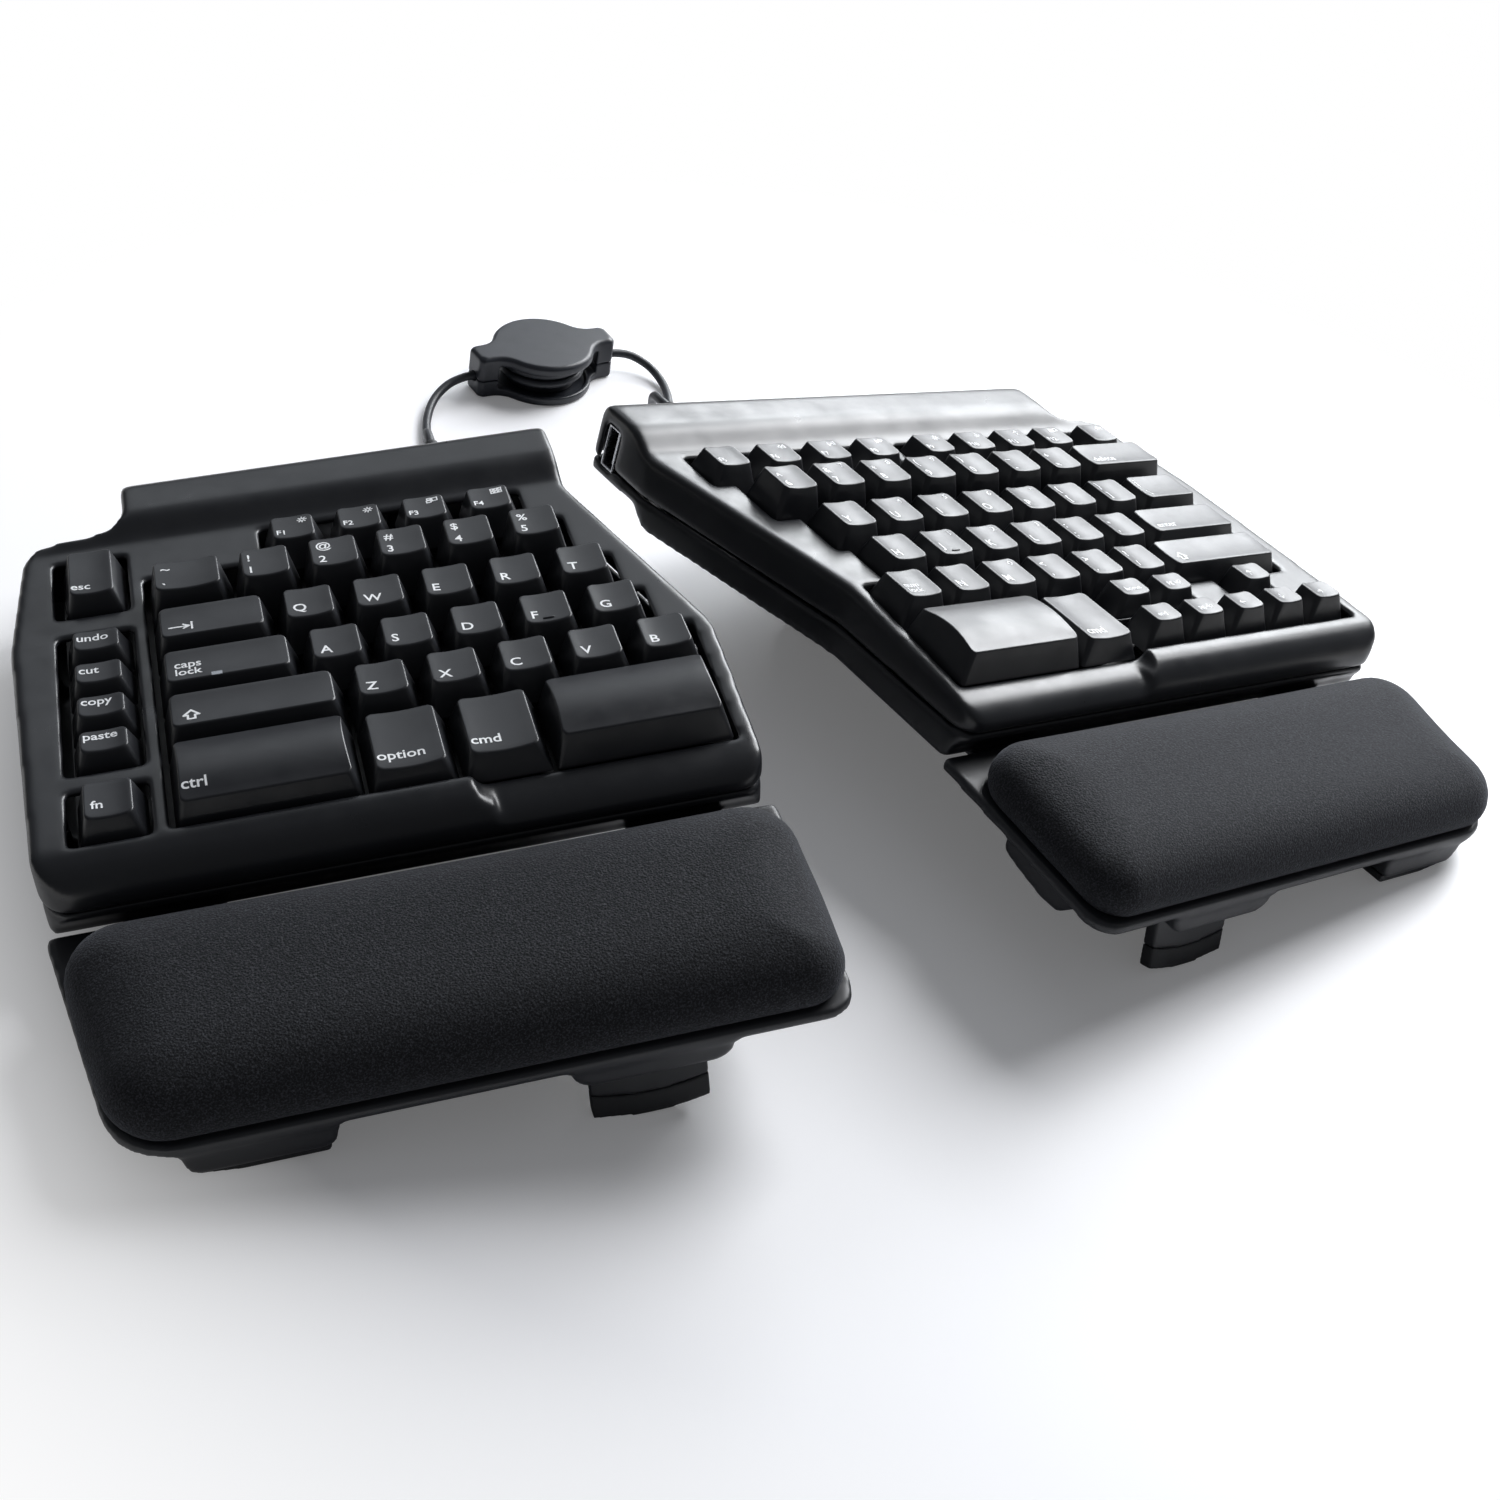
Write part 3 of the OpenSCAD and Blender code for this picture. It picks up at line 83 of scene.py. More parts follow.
@dataclass(frozen=True)
class Stance:
    """How a half stands in the part's frame.

    Args:
        side: Which half.
        origin: Place of the half's key frame in millimetres.
    """

    side: Side
    origin: tuple[float, float, float]
    tent: float = 8.6
    splay: float = 9.0
    lift: float = 2.3

    def matrix(self) -> np.ndarray:
        """Returns the 4 by 4 matrix from key-frame millimetres to metres: tent, then lift, then splay."""
        s = self.side.value
        turn = (Matrix.Rotation(math.radians(s * self.splay), 4, "Z")
                @ Matrix.Rotation(math.radians(-self.lift), 4, "X")
                @ Matrix.Rotation(math.radians(s * self.tent), 4, "Y"))
        whole = np.array(Matrix.Translation(self.origin) @ turn)
        whole[:3] *= MM
        return whole


STANCE = {Side.LEFT: Stance(Side.LEFT, (-138.77, 4.32, 45.5)),
          Side.RIGHT: Stance(Side.RIGHT, (35.03, -6.68, 61.34))}


def link(name: str, data: bpy.types.ID) -> bpy.types.Object:
    """Returns a new object in the scene that shows the given data."""
    obj = bpy.data.objects.new(name, data)
    bpy.context.scene.collection.objects.link(obj)
    return obj


def carried(points: np.ndarray, matrix: np.ndarray) -> np.ndarray:
    """Returns points carried by a 4 by 4 matrix."""
    return points @ matrix[:3, :3].T + matrix[:3, 3]


def points_of(mesh: bpy.types.Mesh) -> np.ndarray:
    """Returns the points of a mesh, one in a row."""
    points = np.empty(len(mesh.vertices) * 3)
    mesh.vertices.foreach_get("co", points)
    return points.reshape(-1, 3)


@dataclass
class Surface:
    """A mesh as arrays: points, four-cornered faces and three-cornered faces."""

    points: np.ndarray
    quads: np.ndarray
    tris: np.ndarray

    @staticmethod
    def join(parts: list["Surface"]) -> "Surface":
        """Puts several surfaces into one.

        Args:
            parts: The surfaces, in any order.
        Returns:
            One surface with every face kept.
        """
        starts = np.cumsum([0] + [len(p.points) for p in parts[:-1]])
        return Surface(np.vstack([p.points for p in parts]),
                       np.vstack([p.quads + s for p, s in zip(parts, starts)]),
                       np.vstack([p.tris + s for p, s in zip(parts, starts)]))

    def moved(self, matrix: np.ndarray) -> "Surface":
        """Returns the surface carried by a 4 by 4 matrix."""
        return Surface(carried(self.points, matrix), self.quads, self.tris)

    def to_object(self, name: str, material: bpy.types.Material, sharp: float = 40.0) -> bpy.types.Object:
        """Makes a mesh object, smooth except over edges sharper than an angle.

        Args:
            name: Name of the object.
            material: Its finish.
            sharp: Angle in degrees above which an edge stays sharp.
        Returns:
            The linked object at the origin.
        """
        mesh = bpy.data.meshes.new(name)
        sizes = np.concatenate([np.full(len(self.quads), 4), np.full(len(self.tris), 3)])
        corners = np.concatenate([self.quads.ravel(), self.tris.ravel()])
        mesh.vertices.add(len(self.points))
        mesh.vertices.foreach_set("co", np.ascontiguousarray(self.points, np.float32).ravel())
        mesh.loops.add(len(corners))
        mesh.loops.foreach_set("vertex_index", corners.astype(np.int32))
        mesh.polygons.add(len(sizes))
        mesh.polygons.foreach_set("loop_start", (np.cumsum(sizes) - sizes).astype(np.int32))
        mesh.update(calc_edges=True)
        mesh.validate()
        mesh.polygons.foreach_set("use_smooth", np.ones(len(mesh.polygons), bool))
        mesh.set_sharp_from_angle(angle=math.radians(sharp))
        mesh.materials.append(material)
        return link(name, mesh)


def loft(rings: np.ndarray) -> Surface:
    """Skins a stack of closed rings and closes both ends by a fan to their middle.

    Args:
        rings: Array of rings, points and three coordinates, counter-clockwise seen from the stack's end.
    Returns:
        The skin, facing outwards.
    """
    count, around = rings.shape[:2]
    index = np.arange(count * around).reshape(count, around)
    after = np.roll(index, -1, axis=1)
    quads = np.stack([index[:-1], after[:-1], after[1:], index[1:]], -1).reshape(-1, 4)
    first, last = count * around, count * around + 1
    points = np.vstack([rings.reshape(-1, 3), rings[0].mean(0), rings[-1].mean(0)])
    tris = np.vstack([np.stack([np.full(around, first), after[0], index[0]], -1),
                      np.stack([np.full(around, last), index[-1], after[-1]], -1)])
    return Surface(points, quads, tris)


def rounded_loop(half_x: float, half_y: float, radius: float) -> np.ndarray:
    """Rectangle with quarter-circle corners, counter-clockwise from the right side.

    Args:
        half_x: Half its width.
        half_y: Half its depth.
        radius: Corner radius.
    Returns:
        Array of points in the plane.
    """
    angle = np.linspace(0, np.pi / 2, LOOP_STEPS + 1)[None, :] + np.arange(4)[:, None] * np.pi / 2
    middle = np.array([[1, 1], [-1, 1], [-1, -1], [1, -1]]) * (half_x - radius, half_y - radius)
    arcs = middle[:, None] + radius * np.stack([np.cos(angle), np.sin(angle)], -1)
    step = np.linspace(0, 1, LOOP_STEPS + 1)[None, 1:-1, None]
    start, end = arcs[:, -1:], np.roll(arcs, -1, axis=0)[:, :1]
    return np.concatenate([arcs, start + (end - start) * step], axis=1).reshape(-1, 2)


def catmull_rom(points: np.ndarray, steps: int) -> np.ndarray:
    """Smooth line through points: each span is the cubic of Catmull and Rom, ends doubled.

    Args:
        points: The points to pass.
        steps: Steps in each span.
    Returns:
        Array of points along the line.
    """
    p = np.vstack([points[:1], points, points[-1:]])
    a, b, c, d = (p[i:len(p) - 3 + i][:, None] for i in range(4))
    t = (np.arange(steps) / steps)[None, :, None]
    line = 0.5 * (2 * b + (c - a) * t + (2 * a - 5 * b + 4 * c - d) * t ** 2
                  + (3 * b - a - 3 * c + d) * t ** 3)
    return np.vstack([line.reshape(-1, 3), points[-1:]])


def tube(path: np.ndarray, radius: float) -> Surface:
    """Round profile carried along a path, square to it, with closed ends.

    Args:
        path: Points of the middle line.
        radius: Radius of the tube.
    Returns:
        The closed tube.
    """
    ahead = np.gradient(path, axis=0)
    ahead /= np.linalg.norm(ahead, axis=1, keepdims=True)
    across = np.cross(ahead, (0, 0, 1.0))
    across /= np.linalg.norm(across, axis=1, keepdims=True)
    over = np.cross(across, ahead)
    g = np.linspace(0, 2 * np.pi, TUBE_SIDES, endpoint=False)[None, :, None]
    return loft(path[:, None] + radius * (np.sin(g) * across[:, None] + np.cos(g) * over[:, None]))


def feed(tree: bpy.types.NodeTree, socket: bpy.types.NodeSocket, value: object) -> None:
    """Links an input to an output socket, or gives it a value.

    Args:
        tree: Tree that holds the node.
        socket: The input.
        value: Output socket or plain value.
    """
    if isinstance(value, bpy.types.NodeSocket):
        tree.links.new(value, socket)
    else:
        socket.default_value = value


def add_node(tree: bpy.types.NodeTree, kind: str, inputs: dict[str | int, object] | None = None,
             **settings: object) -> bpy.types.Node:
    """Adds a node to a tree.

    Args:
        tree: The tree.
        kind: Blender's name of the node type.
        inputs: Values or output sockets for its inputs.
        settings: Attributes of the node.
    Returns:
        The node.
    """
    node = tree.nodes.new(kind)
    for key, value in settings.items():
        setattr(node, key, value)
    for key, value in (inputs or {}).items():
        feed(tree, node.inputs[key], value)
    return node


class Shader:
    """Short hand for building one node material."""

    def __init__(self, name: str) -> None:
        """Starts an empty material with a Principled shader on its output."""
        self.material = bpy.data.materials.new(name)
        self.material.use_nodes = True
        self.tree = self.material.node_tree
        self.tree.nodes.clear()
        self.out = self.tree.nodes.new("ShaderNodeOutputMaterial")
        self.body = self.tree.nodes.new("ShaderNodeBsdfPrincipled")
        self.tree.links.new(self.body.outputs[0], self.out.inputs[0])
        self.place = self.tree.nodes.new("ShaderNodeTexCoord").outputs["Object"]

    def add(self, kind: str, inputs: dict[str | int, object] | None = None,
            **settings: object) -> bpy.types.Node:
        """Returns a new node of this material, made by add_node."""
        return add_node(self.tree, kind, inputs, **settings)

    def noise(self, scale: float, detail: float = 2.0, rough: float = 0.5) -> bpy.types.NodeSocket:
        """Returns soft noise from 0 to 1 on object coordinates, scale in waves a metre."""
        return self.add("ShaderNodeTexNoise", {"Vector": self.place, "Scale": scale, "Detail": detail,
                                               "Roughness": rough}).outputs["Fac"]

    def ramp(self, value: bpy.types.NodeSocket, low: float, high: float, at: tuple[float, float] = (0.3, 0.7)
             ) -> bpy.types.NodeSocket:
        """Returns value carried from the range at to the range low to high."""
        return self.add("ShaderNodeMapRange", {"Value": value, "From Min": at[0], "From Max": at[1],
                                               "To Min": low, "To Max": high}).outputs["Result"]

    def tint(self, value: bpy.types.NodeSocket, low: tuple[float, ...], high: tuple[float, ...]
             ) -> bpy.types.NodeSocket:
        """Returns a colour between two colours."""
        return self.add("ShaderNodeMix", {"Factor": value, 6: (*low, 1), 7: (*high, 1)},
                        data_type="RGBA").outputs[2]

    def bump(self, height: bpy.types.NodeSocket, depth: float, strength: float = 1.0) -> None:
        """Raises the surface by a height map of a real depth in metres."""
        node = self.add("ShaderNodeBump", {"Height": height, "Distance": depth, "Strength": strength})
        self.tree.links.new(node.outputs[0], self.body.inputs["Normal"])

    def set(self, **inputs: object) -> None:
        """Sets or links inputs of the Principled shader, underscores standing for spaces."""
        for key, value in inputs.items():
            feed(self.tree, self.body.inputs[key.replace("_", " ")], value)


@dataclass(frozen=True)
class MouldedFinish:
    """Moulded plastic or rubber: fine spark grain, faint cloudy tone and uneven gloss.

    Args:
        name: Name of the finish.
        colour: Its base colour.
        rough: Mean roughness.
        grain: Grain waves a metre.
        depth: Grain depth in metres.
        spread: How far the roughness strays from its mean.
    """

    name: str
    colour: tuple[float, float, float]
    rough: float
    grain: float = 2600.0
    depth: float = 0.00002
    spread: float = 0.06

    def material(self) -> bpy.types.Material:
        """Returns the node material."""
        s = Shader(self.name)
        cloud = s.noise(28, 3)
        grain = s.noise(self.grain, 2, 0.6)
        light = tuple(c * 1.3 + 0.002 for c in self.colour)
        s.set(Base_Color=s.tint(cloud, tuple(c * 0.85 for c in self.colour), light),
              Roughness=s.ramp(s.noise(90, 4, 0.65), self.rough - self.spread, self.rough + self.spread),
              Specular_IOR_Level=0.5)
        s.bump(grain, self.depth, 0.35)
        return s.material


@dataclass(frozen=True)
class FabricFinish:
    """Stretched knit cover: tiny speckle of lighter yarn over a dark ground, with a soft sheen."""

    name: str
    dark: tuple[float, float, float]
    light: tuple[float, float, float]

    def material(self) -> bpy.types.Material:
        """Returns the node material."""
        s = Shader(self.name)
        yarn = s.noise(2100, 2, 0.7)
        loops = s.add("ShaderNodeTexVoronoi", {"Vector": s.place, "Scale": 1500.0}).outputs["Distance"]
        speckle = s.ramp(yarn, 0, 1, (0.46, 0.72))
        s.set(Base_Color=s.tint(speckle, self.dark, self.light), Roughness=0.86, Specular_IOR_Level=0.25,
              Sheen_Weight=0.16, Sheen_Roughness=0.45, Sheen_Tint=(0.6, 0.63, 0.72, 1))
        mixed = s.add("ShaderNodeMath", {0: yarn, 1: loops}, operation="SUBTRACT").outputs[0]
        s.bump(mixed, 0.00022, 0.55)
        return s.material


@dataclass(frozen=True)
class MetalFinish:
    """Plated metal with fine brushing along one axis and slightly uneven gloss."""

    name: str
    colour: tuple[float, float, float]
    rough: float

    def material(self) -> bpy.types.Material:
        """Returns the node material."""
        s = Shader(self.name)
        stretch = s.add("ShaderNodeMapping", {"Vector": s.place, "Scale": (60, 2400, 2400)}).outputs[0]
        brush = s.add("ShaderNodeTexNoise", {"Vector": stretch, "Scale": 1.0, "Detail": 3.0}).outputs["Fac"]
        s.set(Base_Color=s.tint(s.noise(120), tuple(c * 0.8 for c in self.colour), self.colour), Metallic=1.0,
              Roughness=s.ramp(brush, self.rough - 0.08, self.rough + 0.1))
        s.bump(brush, 0.00001, 0.3)
        return s.material


@dataclass(frozen=True)
class BoardFinish:
    """Circuit board: dark lacquer with paler copper runs under it in a fine square maze."""

    name: str
    lacquer: tuple[float, float, float]
    copper: tuple[float, float, float]

    def material(self) -> bpy.types.Material:
        """Returns the node material."""
        s = Shader(self.name)
        runs = s.add("ShaderNodeTexBrick", {"Vector": s.place, "Scale": 160.0, "Mortar Size": 0.03,
                                            "Color1": (0, 0, 0, 1), "Color2": (0.2, 0.2, 0.2, 1),
                                            "Mortar": (1, 1, 1, 1)}).outputs["Color"]
        s.set(Base_Color=s.tint(runs, self.lacquer, self.copper), Roughness=0.35)
        s.bump(runs, 0.00004, 0.5)
        return s.material


@dataclass(frozen=True)
class CordFinish:
    """Extruded cord jacket: faint drawn rings and a satin gloss."""

    name: str
    colour: tuple[float, float, float]

    def material(self) -> bpy.types.Material:
        """Returns the node material."""
        s = Shader(self.name)
        fine = s.noise(900, 3)
        s.set(Base_Color=s.tint(fine, tuple(c * 0.7 for c in self.colour), self.colour),
              Roughness=s.ramp(s.noise(160, 2), 0.38, 0.55))
        s.bump(fine, 0.00003, 0.4)
        return s.material


class Finishes:
    """Every finish of the keyboard, built once."""

    def __init__(self) -> None:
        """Builds the materials."""
        self.keys = MouldedFinish("key_black", (0.013, 0.014, 0.017), 0.36, 3200, 0.000016).material()
        self.case = MouldedFinish("case_black", (0.012, 0.013, 0.0155), 0.33, 2600, 0.00002).material()
        self.tray = MouldedFinish("tray_black", (0.015, 0.016, 0.019), 0.42, 2000, 0.00003).material()
        self.legs = MouldedFinish("leg_black", (0.014, 0.015, 0.018), 0.4, 2200, 0.00002).material()
        self.rubber = MouldedFinish("rubber_black", (0.017, 0.0175, 0.019), 0.62, 1500, 0.00004).material()
        self.reel = MouldedFinish("reel_black", (0.016, 0.018, 0.024), 0.4, 2400, 0.00002).material()
        self.switch = MouldedFinish("switch_black", (0.01, 0.01, 0.011), 0.45).material()
        self.print = MouldedFinish("legend_white", (0.78, 0.79, 0.8), 0.5, 3000, 0.00001).material()
        self.window = MouldedFinish("window_grey", (0.3, 0.32, 0.35), 0.25, 1500, 0.00001).material()
        self.fabric = FabricFinish("pad_knit", (0.0075, 0.008, 0.0095), (0.05, 0.052, 0.06)).material()
        self.steel = MetalFinish("steel_bright", (0.6, 0.61, 0.63), 0.28).material()
        self.board = BoardFinish("board_green", (0.008, 0.03, 0.018), (0.03, 0.07, 0.04)).material()
        self.cord = CordFinish("cord_grey", (0.03, 0.033, 0.04)).material()


def stroke(points: list[tuple[float, float]], width: float) -> Surface:
    """Drawn line as one flat-topped bar for each of its spans, in a plane with z from -1 to 1.

    Args:
        points: Corners of the line.
        width: Width of the line.
    Returns:
        The bars, closed.
    """
    p = np.asarray(points, float)
    a, b = p[:-1], p[1:]
    d = (b - a) / np.linalg.norm(b - a, axis=1, keepdims=True)
    n = np.stack([-d[:, 1], d[:, 0]], -1) * width / 2
    a, b = a - d * width * 0.35, b + d * width * 0.35
    flat = np.stack([a - n, b - n, b + n, a + n], 1)
    low = np.concatenate([flat, np.full(flat.shape[:2] + (1,), -1.0)], -1)
    high = np.concatenate([flat, np.full(flat.shape[:2] + (1,), 1.0)], -1)
    return Surface.join([loft(np.stack([x, y])) for x, y in zip(low, high)])


def box(x0: float, y0: float, x1: float, y1: float) -> tuple[tuple[float, float], ...]:
    """Returns a closed rectangle as a line."""
    return (x0, y0), (x1, y0), (x1, y1), (x0, y1), (x0, y0)


def wedge(base: float, tip: float) -> tuple[tuple[float, float], ...]:
    """Returns a closed triangle as a line, from an upright base to a tip beside it."""
    return (base, 0.85), (tip, 0.5), (base, 0.15), (base, 0.85)


class Icon(Enum):
    """Drawn signs on the caps, as lines in a square of one unit."""

    TAB = (((0, 0.5), (1.5, 0.5)), ((1.05, 0.78), (1.5, 0.5), (1.05, 0.22)), ((1.68, 0.05), (1.68, 0.95)))
    SHIFT = (((0.5, 0.98), (0, 0.46), (0.27, 0.46), (0.27, 0.05), (0.73, 0.05), (0.73, 0.46), (1, 0.46),
              (0.5, 0.98)),)
    LEFT = (((0.95, 0.5), (0.05, 0.5)), ((0.4, 0.85), (0.05, 0.5), (0.4, 0.15)))
    RIGHT = (((0.05, 0.5), (0.95, 0.5)), ((0.6, 0.85), (0.95, 0.5), (0.6, 0.15)))
    UP = (((0.5, 0.05), (0.5, 0.95)), ((0.15, 0.6), (0.5, 0.95), (0.85, 0.6)))
    DOWN = (((0.5, 0.95), (0.5, 0.05)), ((0.15, 0.4), (0.5, 0.05), (0.85, 0.4)))
    SUN = (((0.5, 0.72), (0.66, 0.66), (0.72, 0.5), (0.66, 0.34), (0.5, 0.28), (0.34, 0.34), (0.28, 0.5),
            (0.34, 0.66), (0.5, 0.72)), ((0.5, 0.86), (0.5, 1)), ((0.5, 0.14), (0.5, 0)),
           ((0.86, 0.5), (1, 0.5)), ((0.14, 0.5), (0, 0.5)), ((0.76, 0.76), (0.85, 0.85)),
           ((0.24, 0.24), (0.15, 0.15)), ((0.76, 0.24), (0.85, 0.15)), ((0.24, 0.76), (0.15, 0.85)))
    PANES = (box(0, 0.1, 0.5, 0.5), box(0.65, 0.3, 1.2, 0.9), box(0.1, 0.65, 0.5, 0.95))
    WINDOW = tuple(((0.07, y), (0.93, y)) for y in (0.07, 0.2, 0.33, 0.46))
    GRID = tuple(box(x, y, x + 0.3, y + 0.35) for x in (0, 0.45, 0.9) for y in (0.05, 0.6))
    BACK = (wedge(0.5, 0.05), wedge(1, 0.55))
    FORTH = (wedge(0.05, 0.5), wedge(0.55, 1))
    PLAY = (wedge(0.05, 0.5), ((0.68, 0.15), (0.68, 0.85)), ((0.92, 0.15), (0.92, 0.85)))
    EJECT = (((0.5, 0.95), (0.05, 0.4), (0.95, 0.4), (0.5, 0.95)), ((0.05, 0.12), (0.95, 0.12)))


class Lettering:
    """Turns words into flat closed meshes with Blender's built-in letters."""

    def __init__(self) -> None:
        """Measures a capital so that sizes are capital heights."""
        self.known: dict[str, Surface] = {}
        self.capital = 1.0
        self.capital = float(np.ptp(self.word("H").points[:, 1]))
        self.known.clear()

    def word(self, text: str) -> Surface:
        """Returns a word with a capital height of one, from the origin to the right, z from -1 to 1."""
        if text not in self.known:
            curve = bpy.data.curves.new("word", "FONT")
            curve.body, curve.size, curve.extrude, curve.resolution_u = text, 1.0, 0.01, 3
            curve.space_line, curve.offset = 0.82, 0.013
            obj = link("word", curve)
            view = bpy.context.evaluated_depsgraph_get()
            mesh = bpy.data.meshes.new_from_object(obj.evaluated_get(view))
            mesh.calc_loop_triangles()
            corners = np.empty(len(mesh.loop_triangles) * 3, int)
            mesh.loop_triangles.foreach_get("vertices", corners)
            points = points_of(mesh)
            points[:, 2] = np.sign(points[:, 2])
            points[:, :2] /= self.capital
            self.known[text] = Surface(points, np.zeros((0, 4), int), corners.reshape(-1, 3))
            bpy.data.objects.remove(obj)
            bpy.data.meshes.remove(mesh)
            bpy.data.curves.remove(curve)
        return self.known[text]


@dataclass(frozen=True)
class Legend:
    """A printed word or sign.

    Args:
        what: Word or icon.
        x: Left end from the left edge of the cap's top, or from its right edge where below 0.
        y: Foot from the front edge of the cap's top, or from its rear edge where below 0.
        size: Capital height.
    """

    what: str | Icon
    x: float = 1.9
    y: float = 1.9
    size: float = 3.3


@dataclass
class Cap:
    """One key cap, hollow, with a stem.

    Args:
        x: Middle of the key along the row.
        y: Middle of the key across the row.
        z: Level of its top.
        width: Width of its skirt.
        depth: Depth of its skirt.
        top: Form of its top.
        legends: What is printed on it.
        ridge: Whether it has the small ridge that guides a finger.
    """

    x: float
    y: float
    z: float
    width: float
    depth: float
    top: Top
    legends: tuple[Legend, ...] = ()
    ridge: bool = False
    side_in: float = 2.75
    front_in: float = 3.0
    rear_in: float = 1.8
    edge: float = 0.55

    # Levels below the home-row tops of every skirt and stem, corner radii and thicknesses of the shell
    skirt_foot, stem_foot = 10.0, 13.2
    corner, top_corner, inner_corner = 1.0, 1.9, 0.6
    wall, lid, roof_side, roof_ends = 1.2, 1.8, 3.4, 7.0
    stem = (2.2, 1.1, 0.3)
    # Depth, half width and least radius of a hollow across the row, then the hollow along it and the barrel
    dish_depth, dish_reach, dish_radius = 0.8, 9.0, 30.0
    long_depth, long_radius, long_middle = 0.6, 60.0, 0.6
    bar_radius, bar_middle = 35.0, 0.3
    # Height of the print above the top and its depth under it, and the pen that draws the signs
    print_up, print_down, pen = 0.05, 0.12, 0.15

    @property
    def height(self) -> float:
        """Height from skirt to top."""
        return self.skirt_foot + self.z

    @property
    def top_half(self) -> np.ndarray:
        """Half the width and half the depth of the top."""
        return np.array([self.width / 2 - self.side_in, (self.depth - self.front_in - self.rear_in) / 2])

    @property
    def top_middle(self) -> np.ndarray:
        """Middle of the top, from the middle of the key."""
        return np.array([0, (self.front_in - self.rear_in) / 2])

    def dish(self, p: np.ndarray) -> np.ndarray:
        """Level of the top under points: a hollow or a crown that is part of a cylinder.

        Args:
            p: Points from the middle of the key.
        Returns:
            Their levels, none above 0.
        """
        if self.top is Top.DISHED:
            half = float(self.top_half[0])
            reach = min(half, self.dish_reach)
            r = max(self.dish_radius, (reach ** 2 + self.dish_depth ** 2) / (2 * self.dish_depth))
            return math.sqrt(r * r - half ** 2) - np.sqrt(r * r - np.clip(p[..., 0], -half, half) ** 2)
        if self.top is Top.LONG:
            r = self.long_radius
            return np.minimum(0, r - self.long_depth - np.sqrt(r * r - (p[..., 1] - self.long_middle) ** 2))
        r = self.bar_radius
        return np.sqrt(r * r - (p[..., 1] - self.bar_middle) ** 2) - r

    def skin(self) -> Surface:
        """Rings from the foot of the stem, up inside, down the wall, up outside and over the rounded edge."""
        h = self.height
        foot = rounded_loop(self.width / 2, self.depth / 2, self.corner)
        brim = rounded_loop(*self.top_half, self.top_corner) + self.top_middle
        level = self.dish(brim)[:, None]
        brim = foot + (brim - foot) * (h + level) / h
        wall = np.concatenate([foot, np.full((len(foot), 1), -h)], 1)
        lip = np.concatenate([brim, level], 1)
        down = (wall - lip) / np.linalg.norm(wall - lip, axis=1, keepdims=True)
        inner = self.top_middle + (brim - self.top_middle) * (1 - self.edge / np.abs(self.top_half))
        crown = np.concatenate([inner, self.dish(inner)[:, None]], 1)
        t = np.linspace(0, 1, 6)[:, None, None]
        round_over = (1 - t) ** 2 * (lip + down * self.edge) + 2 * t * (1 - t) * lip + t ** 2 * crown
        s = np.array([0.82, 0.64, 0.46, 0.28, 0.1])[:, None, None]
        flat = self.top_middle + (inner - self.top_middle) * s
        tops = np.concatenate([flat, self.dish(flat)[..., None]], -1)
        thin = rounded_loop(self.width / 2 - self.wall, self.depth / 2 - self.wall, self.inner_corner)
        roof = rounded_loop(self.width / 2 - self.roof_side, (self.depth - self.roof_ends) / 2,
                            self.inner_corner)
        stem = rounded_loop(*self.stem)
        lid = float(level.min()) - self.lid
        inside = np.stack([np.concatenate([loop, np.full((len(loop), 1), z)], 1) for loop, z in (
            (stem, -self.stem_foot - self.z), (stem, lid), (roof + self.top_middle, lid), (thin, -h))])
        rings = np.concatenate([inside, wall[None], (wall * 0.4 + lip * 0.6)[None], round_over, tops])
        return self.seat(loft(rings))

    def seat(self, surface: Surface) -> Surface:
        """Returns a surface moved from the cap's own middle to its place in the half."""
        return Surface(surface.points + (self.x, self.y, self.z), surface.quads, surface.tris)

    def printed(self, letters: Lettering, window: bool = False) -> list[Surface]:
        """Lays each legend on the curved top, a little proud of it.

        Args:
            letters: Source of the words.
            window: Whether light windows are asked for in place of print.
        Returns:
            One surface for each legend.
        """
        found = []
        for legend in self.legends:
            if (legend.what is Icon.WINDOW) != window:
                continue
            if isinstance(legend.what, Icon):
                sign = Surface.join([stroke(line, self.pen) for line in legend.what.value])
            else:
                sign = letters.word(legend.what)
            flat = sign.points[:, :2] * legend.size
            span = np.ptp(flat, axis=0)
            low = self.top_middle - self.top_half
            high = self.top_middle + self.top_half
            corner = np.where(np.array([legend.x, legend.y]) < 0, high + (legend.x, legend.y) - span,
                              low + (legend.x, legend.y))
            flat = flat - flat.min(0) + corner
            level = self.dish(flat) + np.where(sign.points[:, 2] > 0, self.print_up, -self.print_down)
            found.append(self.seat(Surface(np.concatenate([flat, level[:, None]], 1), sign.quads, sign.tris)))
        return found

    def guide(self) -> Surface:
        """Low round-ended ridge near the front of the top: half a rod with its ends drawn in."""
        t = np.linspace(-1, 1, 13)
        g = np.linspace(0, 2 * np.pi, 12, endpoint=False)
        r = 0.35 * np.sqrt(np.maximum(1 - np.abs(t) ** 6, 0.02))
        y = self.top_middle[1] - self.top_half[1] + 1.7
        rings = np.stack([np.broadcast_to(1.7 * t[:, None], (13, 12)), y + r[:, None] * np.cos(g),
                          r[:, None] * np.sin(g)], -1)
        rings[..., 2] += self.dish(rings)
        return self.seat(loft(rings))


